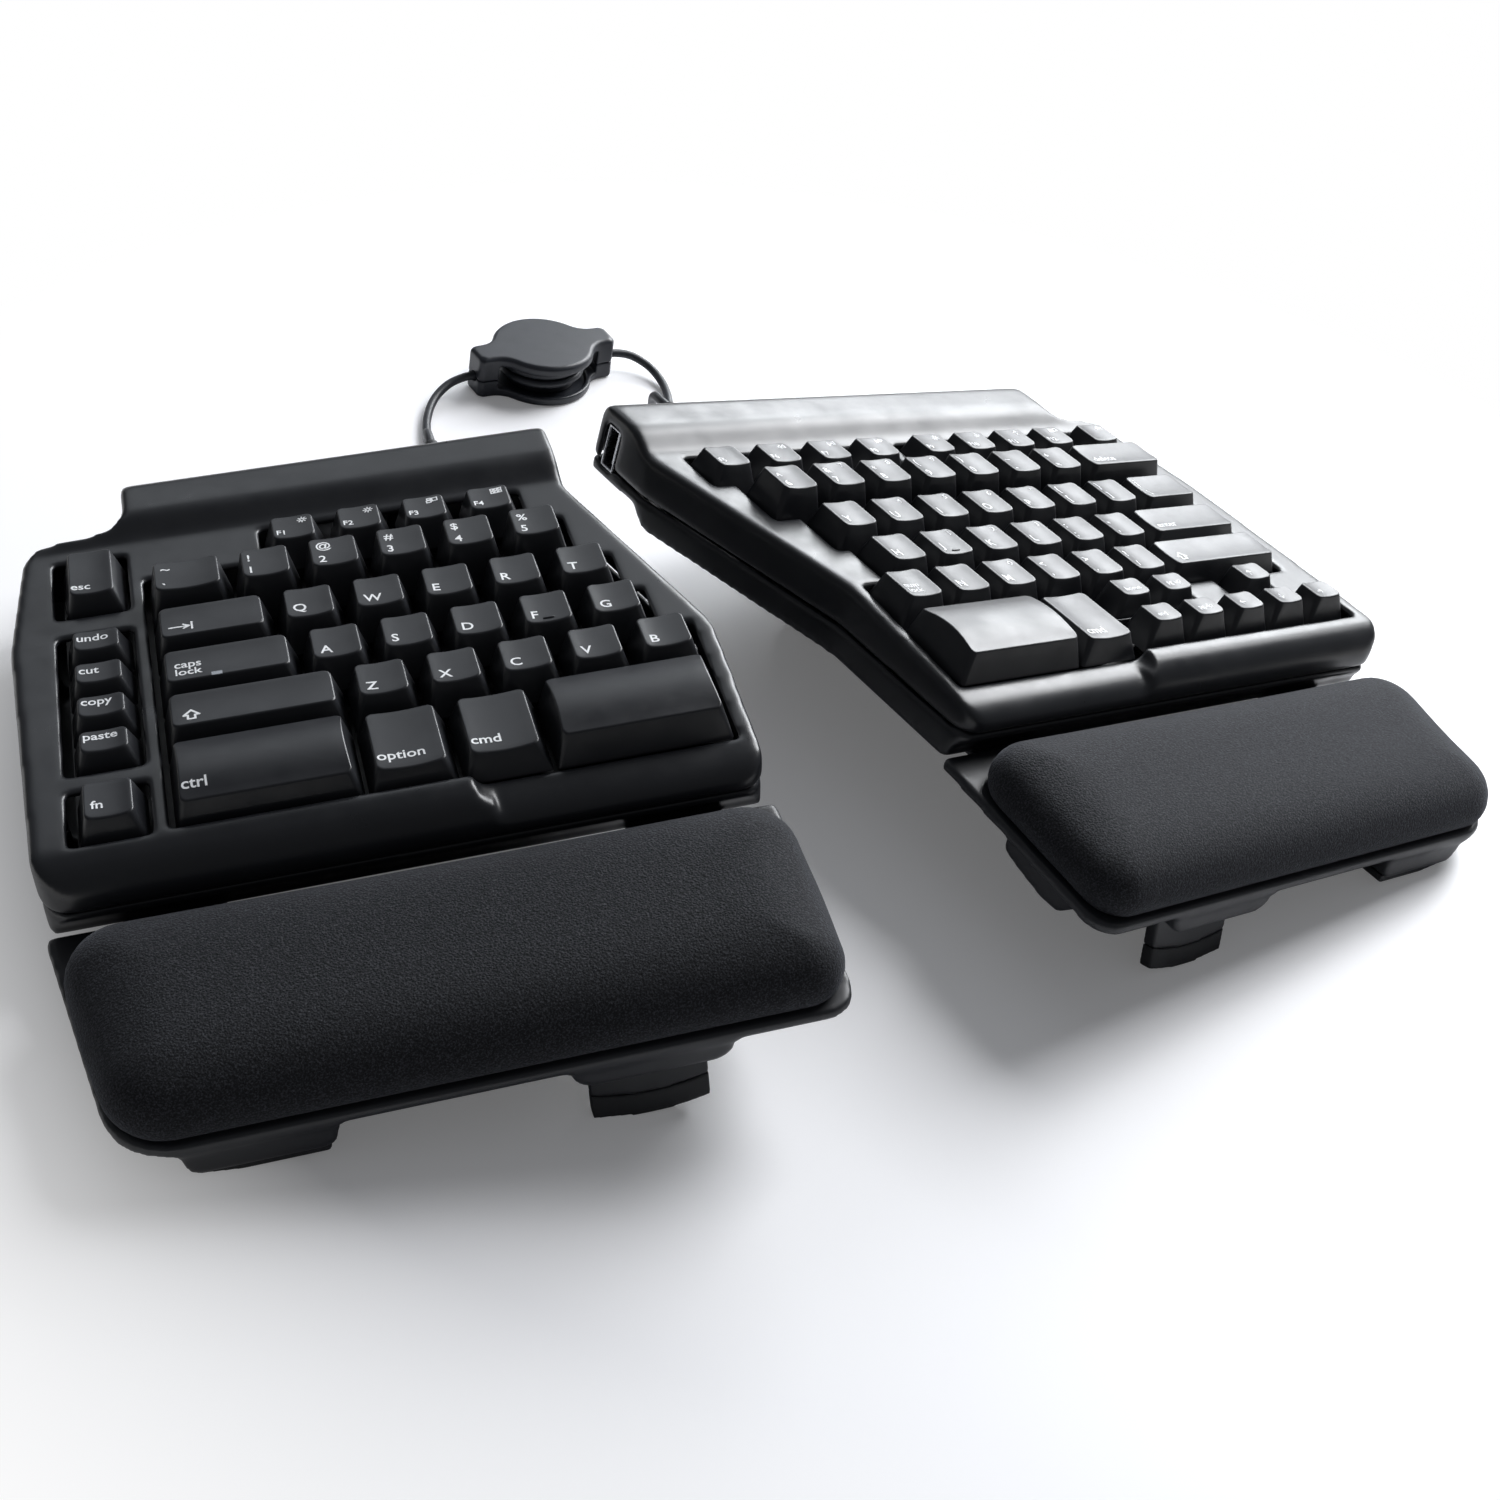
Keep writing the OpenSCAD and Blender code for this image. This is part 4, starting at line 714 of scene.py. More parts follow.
@dataclass
class KeyGroup:
    """The caps that one press joint moves.

    Args:
        node: CAD node that they stand for.
        side: Half that carries them.
        caps: The caps.
    """

    node: str
    side: Side
    caps: list[Cap]

    def build(self, finishes: Finishes, letters: Lettering) -> list[bpy.types.Object]:
        """Makes the caps and their print and rides them on the press body.

        Args:
            finishes: The finishes.
            letters: Source of the words.
        Returns:
            The new objects.
        """
        place = STANCE[self.side].matrix()
        parts = [c.skin() for c in self.caps] + [c.guide() for c in self.caps if c.ridge]
        caps = Surface.join(parts).moved(place).to_object(self.node + "_caps", finishes.keys, 50)
        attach(caps, self.node + "_body")
        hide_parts(self.node)
        made = [caps]
        for kind, finish in (("print", finishes.print), ("window", finishes.window)):
            signs = [s for c in self.caps for s in c.printed(letters, kind == "window")]
            if signs:
                ink = Surface.join(signs).moved(place).to_object(f"{self.node}_{kind}", finish, 30)
                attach(ink, self.node + "_body")
                made.append(ink)
        return made


def word(text: str, **where: float) -> tuple[Legend, ...]:
    """Returns one legend at the usual corner, in a tuple."""
    return (Legend(text, **where),)


def digit(low: str, high: str, corner: str = "") -> tuple[Legend, ...]:
    """Returns a digit with its sign above it and, at need, a small keypad digit in the rear right corner."""
    pair = (Legend(low, 1.9, 1.5, 3.1), Legend(high, 1.7, 7.2, 3.1))
    return pair + ((Legend(corner, -1.6, -1.5, 2.1),) if corner else ())


def letter(text: str, corner: str = "") -> tuple[Legend, ...]:
    """Returns a letter and, at need, a small keypad sign in the rear right corner."""
    return word(text) + ((Legend(corner, -1.6, -1.5, 2.1),) if corner else ())


@dataclass(frozen=True)
class Row:
    """A row of keys: middle line, depth and top level."""

    y: float
    depth: float
    z: float


class KeyLayout:
    """Lays out every key of both halves as press groups."""

    gap = 0.95
    narrow = 17.6 - gap / 2
    outer_x = -47.4
    long_from = 20.0
    number = Row(3 * PITCH, PITCH, 3.2)
    upper = Row(2 * PITCH, PITCH, 0.8)
    home = Row(PITCH, PITCH, 0.0)
    lower = Row(0.0, PITCH, 0.0)
    bottom = Row(-1.25 * PITCH, 1.5 * PITCH, -2.0)
    bar = Row(-1.25 * PITCH, 1.5 * PITCH, 1.0)
    function = Row(78.0, 16.4, -0.5)

    def cap(self, row: Row, x: float, width: float, legends: tuple[Legend, ...], top: Top | None = None,
            ridge: bool = False) -> Cap:
        """Returns a cap of a row, width in key pitches, with a long hollow where its top is wide enough."""
        wide = width * PITCH - self.gap
        form = top or (Top.LONG if wide - 2 * Cap.side_in >= self.long_from else Top.DISHED)
        return Cap(x, row.y, row.z, wide, row.depth - self.gap, form, legends, ridge)

    def run(self, row: Row, start: float, keys: list[tuple[float, tuple[Legend, ...]]], ridge: int = -1
            ) -> list[Cap]:
        """Returns neighbouring caps from a start in key pitches, one of them with a finger ridge."""
        wide = np.array([k[0] for k in keys])
        middle = (start + np.cumsum(wide) - wide / 2) * PITCH
        return [self.cap(row, float(x), k[0], k[1], None, i == ridge)
                for i, (x, k) in enumerate(zip(middle, keys))]

    def functions(self, at: list[float], first: int, icons: list[Icon | None]) -> list[Cap]:
        """Returns function caps at places in key pitches, numbered from first, each with a sign."""
        made = []
        for i, (x, icon) in enumerate(zip(at, icons)):
            legends = (Legend(f"F{first + i}", 1.1, 1.8, 2.2),) if first + i < 13 else ()
            legends += (Legend(icon, -1.4, -1.4, 2.6),) if icon else ()
            made.append(Cap(x * PITCH, self.function.y, self.function.z, self.narrow,
                            self.function.depth - self.gap / 2, Top.DISHED, legends))
        return made

    def small(self, at: dict[float, str | Icon], y: float) -> list[Cap]:
        """Returns small caps at places in key pitches, each with a word or an arrow."""
        return [Cap(x * PITCH, y, 0.0, PITCH - self.gap, 12.2, Top.DISHED,
                    (Legend(what, 3.0, 2.2, 2.6 if isinstance(what, Icon) else 2.0),), False, 3.3, 3.0, 0.6)
                for x, what in at.items()]

    def column(self, y: float, depth: float, z: float, text: str, x: float, foot: float) -> Cap:
        """Returns a cap of the outer left column, with its word at x and foot."""
        return Cap(self.outer_x, y, z, self.narrow, depth - self.gap / 2, Top.DISHED,
                   word(text, x=x, y=foot, size=2.9))

    def left(self) -> list[KeyGroup]:
        """Returns the groups of the left half."""
        def line(text: str) -> list[tuple[float, tuple[Legend, ...]]]:
            """Returns one plain key for each letter."""
            return [(1.0, letter(c)) for c in text]

        low_sign = (Legend("~", 1.9, 9.0, 3.1), Legend("`", 1.9, 2.0, 3.1))
        numbers = [(1.25, low_sign)] + [(1.0, digit(a, b)) for a, b in zip("12345", "!@#$%")]
        bottom = [self.cap(self.bar, -0.5 * PITCH, 2.5, word("ctrl", x=0.4, y=2.8, size=3.4), Top.BAR)]
        bottom += [self.cap(self.bottom, x * PITCH, 1.25, word(t, x=0.6, y=y, size=3.3))
                   for x, t, y in ((1.375, "option", 2.4), (2.625, "cmd", 3.4))]
        groups = {
            "esc_key": [self.column(70.4, 26, -0.5, "esc", 0.4, 2.0)],
            "edit_keys": [self.column(y, 13.6, -2, t, 0.8, 3.6) for y, t in zip(
                (39.9, 25.2, 10.5, -4.2), ("undo", "cut", "copy", "paste"))],
            "fn_key": [self.column(-28.8, 18.8, -1, "fn", 1.6, 3.4)],
            "left_function_keys": self.functions([0.5, 1.5, 2.5, 3.5], 1,
                                                 [Icon.SUN, Icon.SUN, Icon.PANES, Icon.GRID]),
            "left_number_keys": self.run(self.number, -1.75, numbers),
            "left_upper_keys": self.run(self.upper, -1.75, [(1.75, (Legend(Icon.TAB, 1.9, 2.2, 3.6),))]
                                        + line("QWERT")),
            "left_home_keys": self.run(self.home, -1.75, [(2.0, word("caps\nlock", x=2.2, y=2.2, size=2.9)
                                                             + (Legend(Icon.WINDOW, 11.4, 0.0, 2.9),))]
                                       + line("ASDFG"), 4),
            "left_lower_keys": self.run(self.lower, -1.75, [(2.5, (Legend(Icon.SHIFT, 2.6, 2.0, 4.0),))]
                                        + line("ZXCVB")),
            "left_bottom_keys": bottom,
            "left_space_key": [self.cap(self.bar, 4.5 * PITCH, 2.5, (), Top.BAR)],
        }
        return [KeyGroup(n, Side.LEFT, c) for n, c in groups.items()]

    def right(self) -> list[KeyGroup]:
        """Returns the groups of the right half."""
        pad = dict(zip("789UIOPJKLM", "789456*1230"))

        def line(text: str) -> list[tuple[float, tuple[Legend, ...]]]:
            """Returns one key for each letter, with its keypad sign."""
            return [(1.0, letter(c, pad.get(c, ""))) for c in text]

        def pairs(low: str, high: str) -> list[tuple[float, tuple[Legend, ...]]]:
            """Returns one key for each sign and the sign above it, with its keypad sign."""
            return [(1.0, digit(a, b, pad.get(a, ""))) for a, b in zip(low, high)]

        numbers = pairs("67890-=", "^&*()_+") + [(2.0, word("delete", x=2.2, y=2.2, size=2.9))]
        uppers = line("YUIOP") + pairs("[]", "{}") + [(1.5, digit("\\", "|"))]
        homes = line("HJKL") + pairs(";'", ":\"")
        lowers = [(1.0, word("num\nlock", x=1.7, y=1.8, size=2.3))] + line("NM") + pairs(",./", "<>?")
        lowers.append((2.75, (Legend(Icon.SHIFT, 2.6, 2.0, 4.0),)))
        ends = {4.25: "end", 5.25: "pg dn", 6.25: Icon.LEFT, 7.25: Icon.DOWN, 8.25: Icon.RIGHT}
        places = [-0.45, 0.62, 1.69, 2.76, 4.05, 5.03, 6.01, 6.99, 8.15]
        icons = [None, Icon.BACK, Icon.PLAY, Icon.FORTH, Icon.SUN, Icon.DOWN, Icon.UP, Icon.PANES, Icon.EJECT]
        groups = {
            "right_function_keys": self.functions(places, 5, icons),
            "right_number_keys": self.run(self.number, -0.5, numbers),
            "right_upper_keys": self.run(self.upper, 0, uppers),
            "right_home_keys": self.run(self.home, 0.25, homes, 1),
            "enter_key": [self.cap(self.home, 7.375 * PITCH, 2.25, word("enter", x=2.4, y=2.2, size=2.9))],
            "right_lower_keys": self.run(self.lower, -0.25, lowers),
            "right_space_key": [self.cap(self.bar, PITCH, 2.5, (), Top.BAR)],
            "right_modifier_key": [self.cap(self.bottom, 2.875 * PITCH, 1.25,
                                            word("cmd", x=1.8, y=2.4, size=3.3))],
            "navigation_keys": self.small({4.25: "home", 5.25: "pg up", 7.25: Icon.UP}, -15.6),
            "arrow_keys": self.small(ends, -30.05),
        }
        return [KeyGroup(n, Side.RIGHT, c) for n, c in groups.items()]


@dataclass
class Moulding:
    """A rigid piece cast again from its CAD node: fine even mesh in the piece's own frame, edges softened.

    Args:
        node: CAD node.
        body: Body that carries it.
        slot: Slot of its finish; not used.
        place: Matrix from the piece's own millimetres to the part's metres.
        grain: Mesh size in millimetres.
        passes: Rounds of softening over the whole piece.
        rim: Outline in the piece's own frame whose edges are softened further.
        rim_passes: Rounds of softening at that outline.
    """

    node: str
    body: str
    slot: str
    place: np.ndarray
    grain: float = 0.4
    passes: int = 4
    rim: np.ndarray | None = None
    rim_passes: int = 12

    def cast(self) -> bpy.types.Mesh:
        """Returns the node's mesh in its own frame, merged and made even by voxels."""
        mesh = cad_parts[self.node].data.copy()
        mesh.transform(Matrix(self.place).inverted())
        work = bmesh.new()
        work.from_mesh(mesh)
        bmesh.ops.remove_doubles(work, verts=work.verts, dist=0.002)
        work.to_mesh(mesh)
        work.free()
        obj = link("cast", mesh)
        even = obj.modifiers.new("even", "REMESH")
        even.mode, even.voxel_size = "VOXEL", self.grain
        view = bpy.context.evaluated_depsgraph_get()
        result = bpy.data.meshes.new_from_object(obj.evaluated_get(view))
        bpy.data.objects.remove(obj)
        bpy.data.meshes.remove(mesh)
        return result

    def nearness(self, points: np.ndarray) -> np.ndarray:
        """How near points are to the rim: 1 up to 2 mm from its line, falling to 0 at 5 mm.

        Args:
            points: Points in the piece's own frame.
        Returns:
            One weight for each point, as a column.
        """
        start, end = self.rim, np.roll(self.rim, -1, axis=0)
        along = end - start
        off = points[:, None, :2] - start
        t = np.clip((off * along).sum(-1) / (along ** 2).sum(-1), 0, 1)
        far = np.linalg.norm(off - t[..., None] * along, axis=-1).min(1)
        return np.clip((5 - far) / 3, 0, 1)[:, None]

    def soften(self, mesh: bpy.types.Mesh) -> np.ndarray:
        """Moves every point towards the mean of its neighbours, which rounds edges and leaves flats alone.

        Args:
            mesh: The even mesh.
        Returns:
            The new points in the part's metres.
        """
        count = len(mesh.vertices)
        points = points_of(mesh)
        ends = np.empty(len(mesh.edges) * 2, np.int32)
        mesh.edges.foreach_get("vertices", ends)
        a, b = ends.reshape(-1, 2).T
        ties = np.bincount(ends, minlength=count)[:, None]
        weights = [1.0] * self.passes
        if self.rim is not None:
            weights += [self.nearness(points)] * self.rim_passes
        for weight in weights:
            total = np.stack([np.bincount(a, points[b, k], count) + np.bincount(b, points[a, k], count)
                              for k in range(3)], -1)
            points = points + 0.6 * weight * (total / ties - points)
        return carried(points, self.place)

    def build(self, material: bpy.types.Material) -> bpy.types.Object:
        """Casts, softens and dresses the piece.

        Args:
            material: Finish of the piece.
        Returns:
            The new object.
        """
        mesh = self.cast()
        mesh.name = self.node + "_moulding"
        mesh.vertices.foreach_set("co", self.soften(mesh).astype(np.float32).ravel())
        mesh.update()
        mesh.materials.clear()
        mesh.materials.append(material)
        mesh.polygons.foreach_set("material_index", np.zeros(len(mesh.polygons), np.int32))
        mesh.polygons.foreach_set("use_smooth", np.ones(len(mesh.polygons), bool))
        obj = link(mesh.name, mesh)
        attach(obj, self.body)
        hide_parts(self.node)
        return obj


@dataclass
class PalmPad:
    """Padded palm rest: rings of a rounded rectangle, crowned, then blown up softly as cloth.

    Args:
        side: Half that carries it.
        plan: Corners of the left pad and their radii.
        around: Points in a ring.
        tray: Level, slope and rear end of the tray under it.
        swell: Most that a point moves when the cover is blown up, in metres.
        spread: Points on either side over which the swelling is averaged.
    """

    side: Side
    plan: tuple[tuple[float, float, float], ...] = (
        (-56, -117, 17), (118.3, -117, 12), (118, -54, 15), (-67, -54, 15))
    margin: float = 1.0
    height: float = 15.6
    around: int = 168
    tray: tuple[float, float, float] = (-26.4, 0.0805, -46.2)
    swell: float = 0.0009
    pressure: float = 4.0
    frames: int = 20
    held_rings: int = 3
    spread: int = 12
    crown_rings: int = 8

    def rest(self, y: np.ndarray) -> np.ndarray:
        """Level of the tray under a place: a plane that falls to the front."""
        level, slope, end = self.tray
        return level + slope * (y - end)

    def ring(self, inset: float) -> np.ndarray:
        """Plan of the pad moved inwards, its corners rounded with tangent arcs.

        Args:
            inset: How far it is moved in.
        Returns:
            Points of the ring, counter-clockwise.
        """
        corner, radius = np.array(self.plan)[:, :2], np.array(self.plan)[:, 2:]
        on = np.roll(corner, -1, axis=0) - corner
        on /= np.linalg.norm(on, axis=1, keepdims=True)
        back = -np.roll(on, 1, axis=0)
        normal = np.stack([-on[:, 1], on[:, 0]], -1)
        both = normal + np.roll(normal, 1, axis=0)
        corner = corner + inset * both / (both * normal).sum(1, keepdims=True)
        radius = np.maximum(radius - inset, 2.0)
        half = np.arccos((on * back).sum(1, keepdims=True)) / 2
        inward = (on + back) / np.linalg.norm(on + back, axis=1, keepdims=True)
        middle = corner + inward * radius / np.sin(half)
        out = corner + back * radius / np.tan(half) - middle
        first = np.arctan2(out[:, 1:], out[:, :1])
        angle = first + (np.pi - 2 * half) * np.linspace(0, 1, 9)
        arcs = middle[:, None] + radius[:, None] * np.stack([np.cos(angle), np.sin(angle)], -1)
        step = np.linspace(0, 1, self.around // 4 - 7)[None, 1:-1, None]
        start, end = arcs[:, -1:], np.roll(arcs, -1, axis=0)[:, :1]
        return np.concatenate([arcs, start + (end - start) * step], axis=1).reshape(-1, 2)

    def form(self) -> Surface:
        """Rings drawn in at the foot and rounded over to a crown."""
        level = np.array([[1.9, 0], [1.0, 0.05], [0.4, 0.13], [0.1, 0.22], [0.0, 0.32], [0.12, 0.43],
                          [0.45, 0.54], [1.05, 0.65], [2.0, 0.745], [3.4, 0.82], [5.2, 0.88], [7.6, 0.922],
                          [10.6, 0.952], [14.2, 0.974], [18.4, 0.989], [22.8, 0.997], [26.6, 1.0]])
        q = np.stack([self.ring(self.margin + d) for d in level[:, 0]])
        if self.side is Side.RIGHT:
            q[..., 0] = MIRROR - q[..., 0]
            q = q[:, ::-1]
        z = self.rest(q[..., 1]) + self.height * level[:, None, 1]
        return loft(np.concatenate([q, z[..., None]], -1))

    def build(self, finishes: Finishes) -> bpy.types.Object:
        """Makes the pad, blows it up and dresses it.

        Args:
            finishes: The finishes.
        Returns:
            The pad.
        """
        name = self.side.name.lower()
        pad = self.form().moved(STANCE[self.side].matrix()).to_object(name + "_pad_cover", finishes.fabric, 80)
        self.inflate(pad)
        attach(pad, name + "_half")
        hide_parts(name + "_palm_pad")
        return pad

    def inflate(self, pad: bpy.types.Object) -> None:
        """Blows the cover up as cloth with its foot held, evens the swelling and keeps each point within it.

        Args:
            pad: The pad, whose mesh is changed.
        """
        rest = points_of(pad.data)
        held = pad.vertex_groups.new(name="foot")
        held.add(list(range(self.held_rings * self.around)) + [len(rest) - 2], 1.0, "REPLACE")
        cloth = pad.modifiers.new("cover", "CLOTH")
        cloth.settings.use_pressure = True
        cloth.settings.uniform_pressure_force = self.pressure
        cloth.settings.vertex_group_mass = "foot"
        cloth.settings.quality = 4
        cloth.settings.effector_weights.gravity = 0
        scene = bpy.context.scene
        scene.frame_start, scene.frame_end = 1, self.frames
        for step in range(1, self.frames + 1):
            scene.frame_set(step)
        view = bpy.context.evaluated_depsgraph_get()
        move = points_of(pad.evaluated_get(view).data) - rest
        far = np.linalg.norm(move, axis=1, keepdims=True)
        move *= np.minimum(1, self.swell / np.maximum(far, 1e-9))
        rings = move[:-2].reshape(-1, self.around, 3)
        rings = np.mean([np.roll(rings, k, axis=1) for k in range(-self.spread, self.spread + 1)], axis=0)
        rings[1:-1] = (rings[:-2] + 2 * rings[1:-1] + rings[2:]) / 4
        crown = rings[-self.crown_rings:]
        even = np.linspace(0, 1, self.crown_rings + 1)[1:, None, None]
        crown += even * (crown.mean(1, keepdims=True) - crown)
        move[:-2] = rings.reshape(-1, 3)
        move[-1] = rings[-1].mean(0)
        pad.modifiers.remove(cloth)
        pad.data.vertices.foreach_set("co", (rest + move).ravel())
        pad.data.update()
        scene.frame_set(1)


@dataclass
class LinkCord:
    """One of the two cords between the reel and a half.

    Args:
        side: Half that it runs to.
        route: Points on the desk between the reel and the gland, before the part's shift.
        gland: Place of the gland along the half.
        reel: Middle of the reel at the level of its cord holes, before the part's shift.
        ears: Distances from it at which the cord starts and is still straight.
        gland_ends: Places across the half at which the cord is straight again and ends.
    """

    side: Side
    route: tuple[tuple[float, float, float], ...]
    gland: float
    radius: float = 1.5
    shift: tuple[float, float, float] = (-51.87, -1.18, 0.0)
    reel: tuple[float, float, float] = (64.5, 214.7, 6.6)
    ears: tuple[float, float] = (26.0, 31.0)
    gland_ends: tuple[float, float] = (133.5, 128.5)
    gland_z: float = -11.0

    def line(self) -> np.ndarray:
        """Returns the middle line in metres, from the reel to the gland."""
        s = self.side.value
        turn = math.radians(REEL_TURN)
        way = np.array([math.cos(turn), math.sin(turn), 0])
        ears = [np.array(self.reel) + self.shift + way * s * r for r in self.ears]
        ends = np.array([[self.gland, y, self.gland_z] for y in self.gland_ends])
        ends = carried(ends, STANCE[self.side].matrix())
        points = np.vstack([ears, np.array(self.route) + self.shift, ends / MM]) * MM
        return catmull_rom(points, 6)

    def build(self, finishes: Finishes) -> bpy.types.Object:
        """Args:
            finishes: The finishes.
        Returns:
            The cord.
        """
        name = self.side.name.lower()
        path = self.line()
        cord = tube(path, self.radius * MM).to_object(name + "_link_cord", finishes.cord, 60)
        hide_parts(name + "_cord")
        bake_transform(cord)
        return cord


@dataclass
class LinkReel:
    """The cord reel between the halves: shells, drum and winding.

    Args:
        drum: Radius of the drum.
        wound: Radius of the wound cord, which lies clear of the drum.
        short: Degrees that the last turn is short of a whole one.
        level: Level of the winding's middle, to which lead is added.
    """

    middle: tuple[float, float, float] = (12.63, 213.52, 0.0)
    drum: float = 12.6
    wound: float = 1.45
    clear: float = 0.16
    pitch: float = 3.6
    turns: float = 2.0
    short: float = 40.0
    level: float = 7.8
    lead: float = 0.15

    def place(self) -> np.ndarray:
        """Returns the matrix from the reel's own millimetres to the part's metres."""
        turn = np.array(Matrix.Translation(self.middle) @ Matrix.Rotation(math.radians(REEL_TURN), 4, "Z"))
        turn[:3] *= MM
        return turn

    def winding(self, finishes: Finishes) -> bpy.types.Object:
        """Makes the wound cord: a helix on the drum with straight ends.

        Args:
            finishes: The finishes.
        Returns:
            The winding.
        """
        r = self.drum + self.wound + self.clear
        a = np.linspace(0, math.radians(self.turns * 360 - self.short), 120)
        rise = self.pitch / (2 * np.pi)
        z = self.level - self.pitch * self.turns / 2 + self.lead + rise * a
        helix = np.stack([r * np.cos(a), r * np.sin(a), z], -1)
        way = np.stack([-r * np.sin(a[[0, -1]]), r * np.cos(a[[0, -1]]), np.full(2, rise)], -1)
        way /= np.linalg.norm(way, axis=1, keepdims=True)
        path = np.vstack([helix[:1] - way[:1] * 2 * self.wound, helix, helix[-1:] + way[1:] * 2 * self.wound])
        wound = tube(path, self.wound).moved(self.place()).to_object("reel_wound_cord", finishes.cord, 60)
        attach(wound, "drum")
        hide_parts("reel_winding")
        return wound

    def build(self, finishes: Finishes) -> list[bpy.types.Object]:
        """Makes the shells, the drum and the winding.

        Args:
            finishes: The finishes.
        Returns:
            The new objects.
        """
        shells = [Moulding(n, "reel", "reel_plastic", self.place(), 0.34, 5).build(finishes.reel)
                  for n in ("reel_top_shell", "reel_bottom_shell")]
        drum = Moulding("reel_drum", "drum", "reel_plastic", self.place(), 0.34, 2).build(finishes.reel)
        return shells + [drum, self.winding(finishes)]


@dataclass
class Half:
    """The rigid pieces of one half.

    Args:
        side: Which half.
        seal_levels: Foot and top of the wall inside the case joint.
    """

    side: Side
    seal_levels: tuple[float, float] = (-21.5, -14.5)

    def outline(self) -> tuple[tuple[float, float], ...]:
        """Returns the corners of the case in plan."""
        if self.side is Side.LEFT:
            return ((-67.2, -50), (115, -50), (115.8, 9), (91, 86), (90.4, 117), (-37.4, 117), (-37.4, 94.6),
                    (-66.2, 92.6), (-70.6, 46))
        return ((-10, -50), (173.4, -50), (176.2, 46), (171.8, 92.6), (147.6, 94.6), (147.6, 117), (-31.2, 117),
                (-30.6, 87), (-10.6, 9))

    def seal(self) -> Surface:
        """Low wall inside the joint of the two cases at the rear outer shoulder."""
        q = np.array([[-65.6, 88.4], [-37.8, 90.4], [-37.8, 91.9], [-65.6, 90.1]])
        if self.side is Side.RIGHT:
            q = (q * (-1, 1) + (MIRROR, 0))[::-1]
        return loft(np.stack([np.column_stack([q, np.full(4, z)]) for z in self.seal_levels]))

    def build(self, finishes: Finishes) -> list[bpy.types.Object]:
        """Makes the cases and the wall inside their joint, the tray, the feet, the fittings and the legs.

        Args:
            finishes: The finishes.
        Returns:
            The new objects.
        """
        name = self.side.name.lower()
        body = name + "_half"
        place = STANCE[self.side].matrix()
        rim = np.array(self.outline())
        made = [Moulding(name + "_top_case", body, "case_plastic", place, 0.74, 5, rim).build(finishes.case),
                Moulding(name + "_bottom_case", body, "case_plastic", place, 0.95, 3).build(finishes.case),
                Moulding(name + "_palm_tray", body, "tray_plastic", place, 0.85, 4).build(finishes.tray),
                Moulding(name + "_feet", body, "rubber", place, 0.4).build(finishes.rubber),
                Moulding(name + "_cord_gland", body, "rubber", place, 0.3).build(finishes.rubber)]
        seal = self.seal().moved(place).to_object(name + "_case_seal", finishes.case, 30)
        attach(seal, body)
        made.append(seal)
        fitting = "host_inlet" if self.side is Side.LEFT else "hub_socket"
        made.append(Moulding(fitting, body, "steel", place, 0.2, 2).build(finishes.steel))
        for end in ("front", "rear"):
            leg = f"{name}_{end}_leg"
            made.append(Moulding(leg, leg + "_body", "leg_plastic", place, 0.4).build(finishes.legs))
            made.append(Moulding(leg + "_tip", leg + "_body", "rubber", place, 0.4).build(finishes.rubber))
        return made


class Inside:
    """CAD nodes that keep their shape: plates, boards, switches, screws, pins and the reel's works."""

    def build(self, finishes: Finishes) -> None:
        """Gives each node its finish.

        Args:
            finishes: The finishes.
        """
        kinds = {"switch_plate": finishes.switch, "circuit_board": finishes.board, "switches": finishes.switch,
                 "screws": finishes.steel, "leg_pins": finishes.steel}
        named = {f"{s}_{k}": m for s in ("left", "right") for k, m in kinds.items()}
        named |= {"reel_spring": finishes.steel, "reel_screw": finishes.steel}
        for node, material in named.items():
            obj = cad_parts[node]
            for place in obj.material_slots:
                place.material = material
            LOG.info("finished node %s", node)


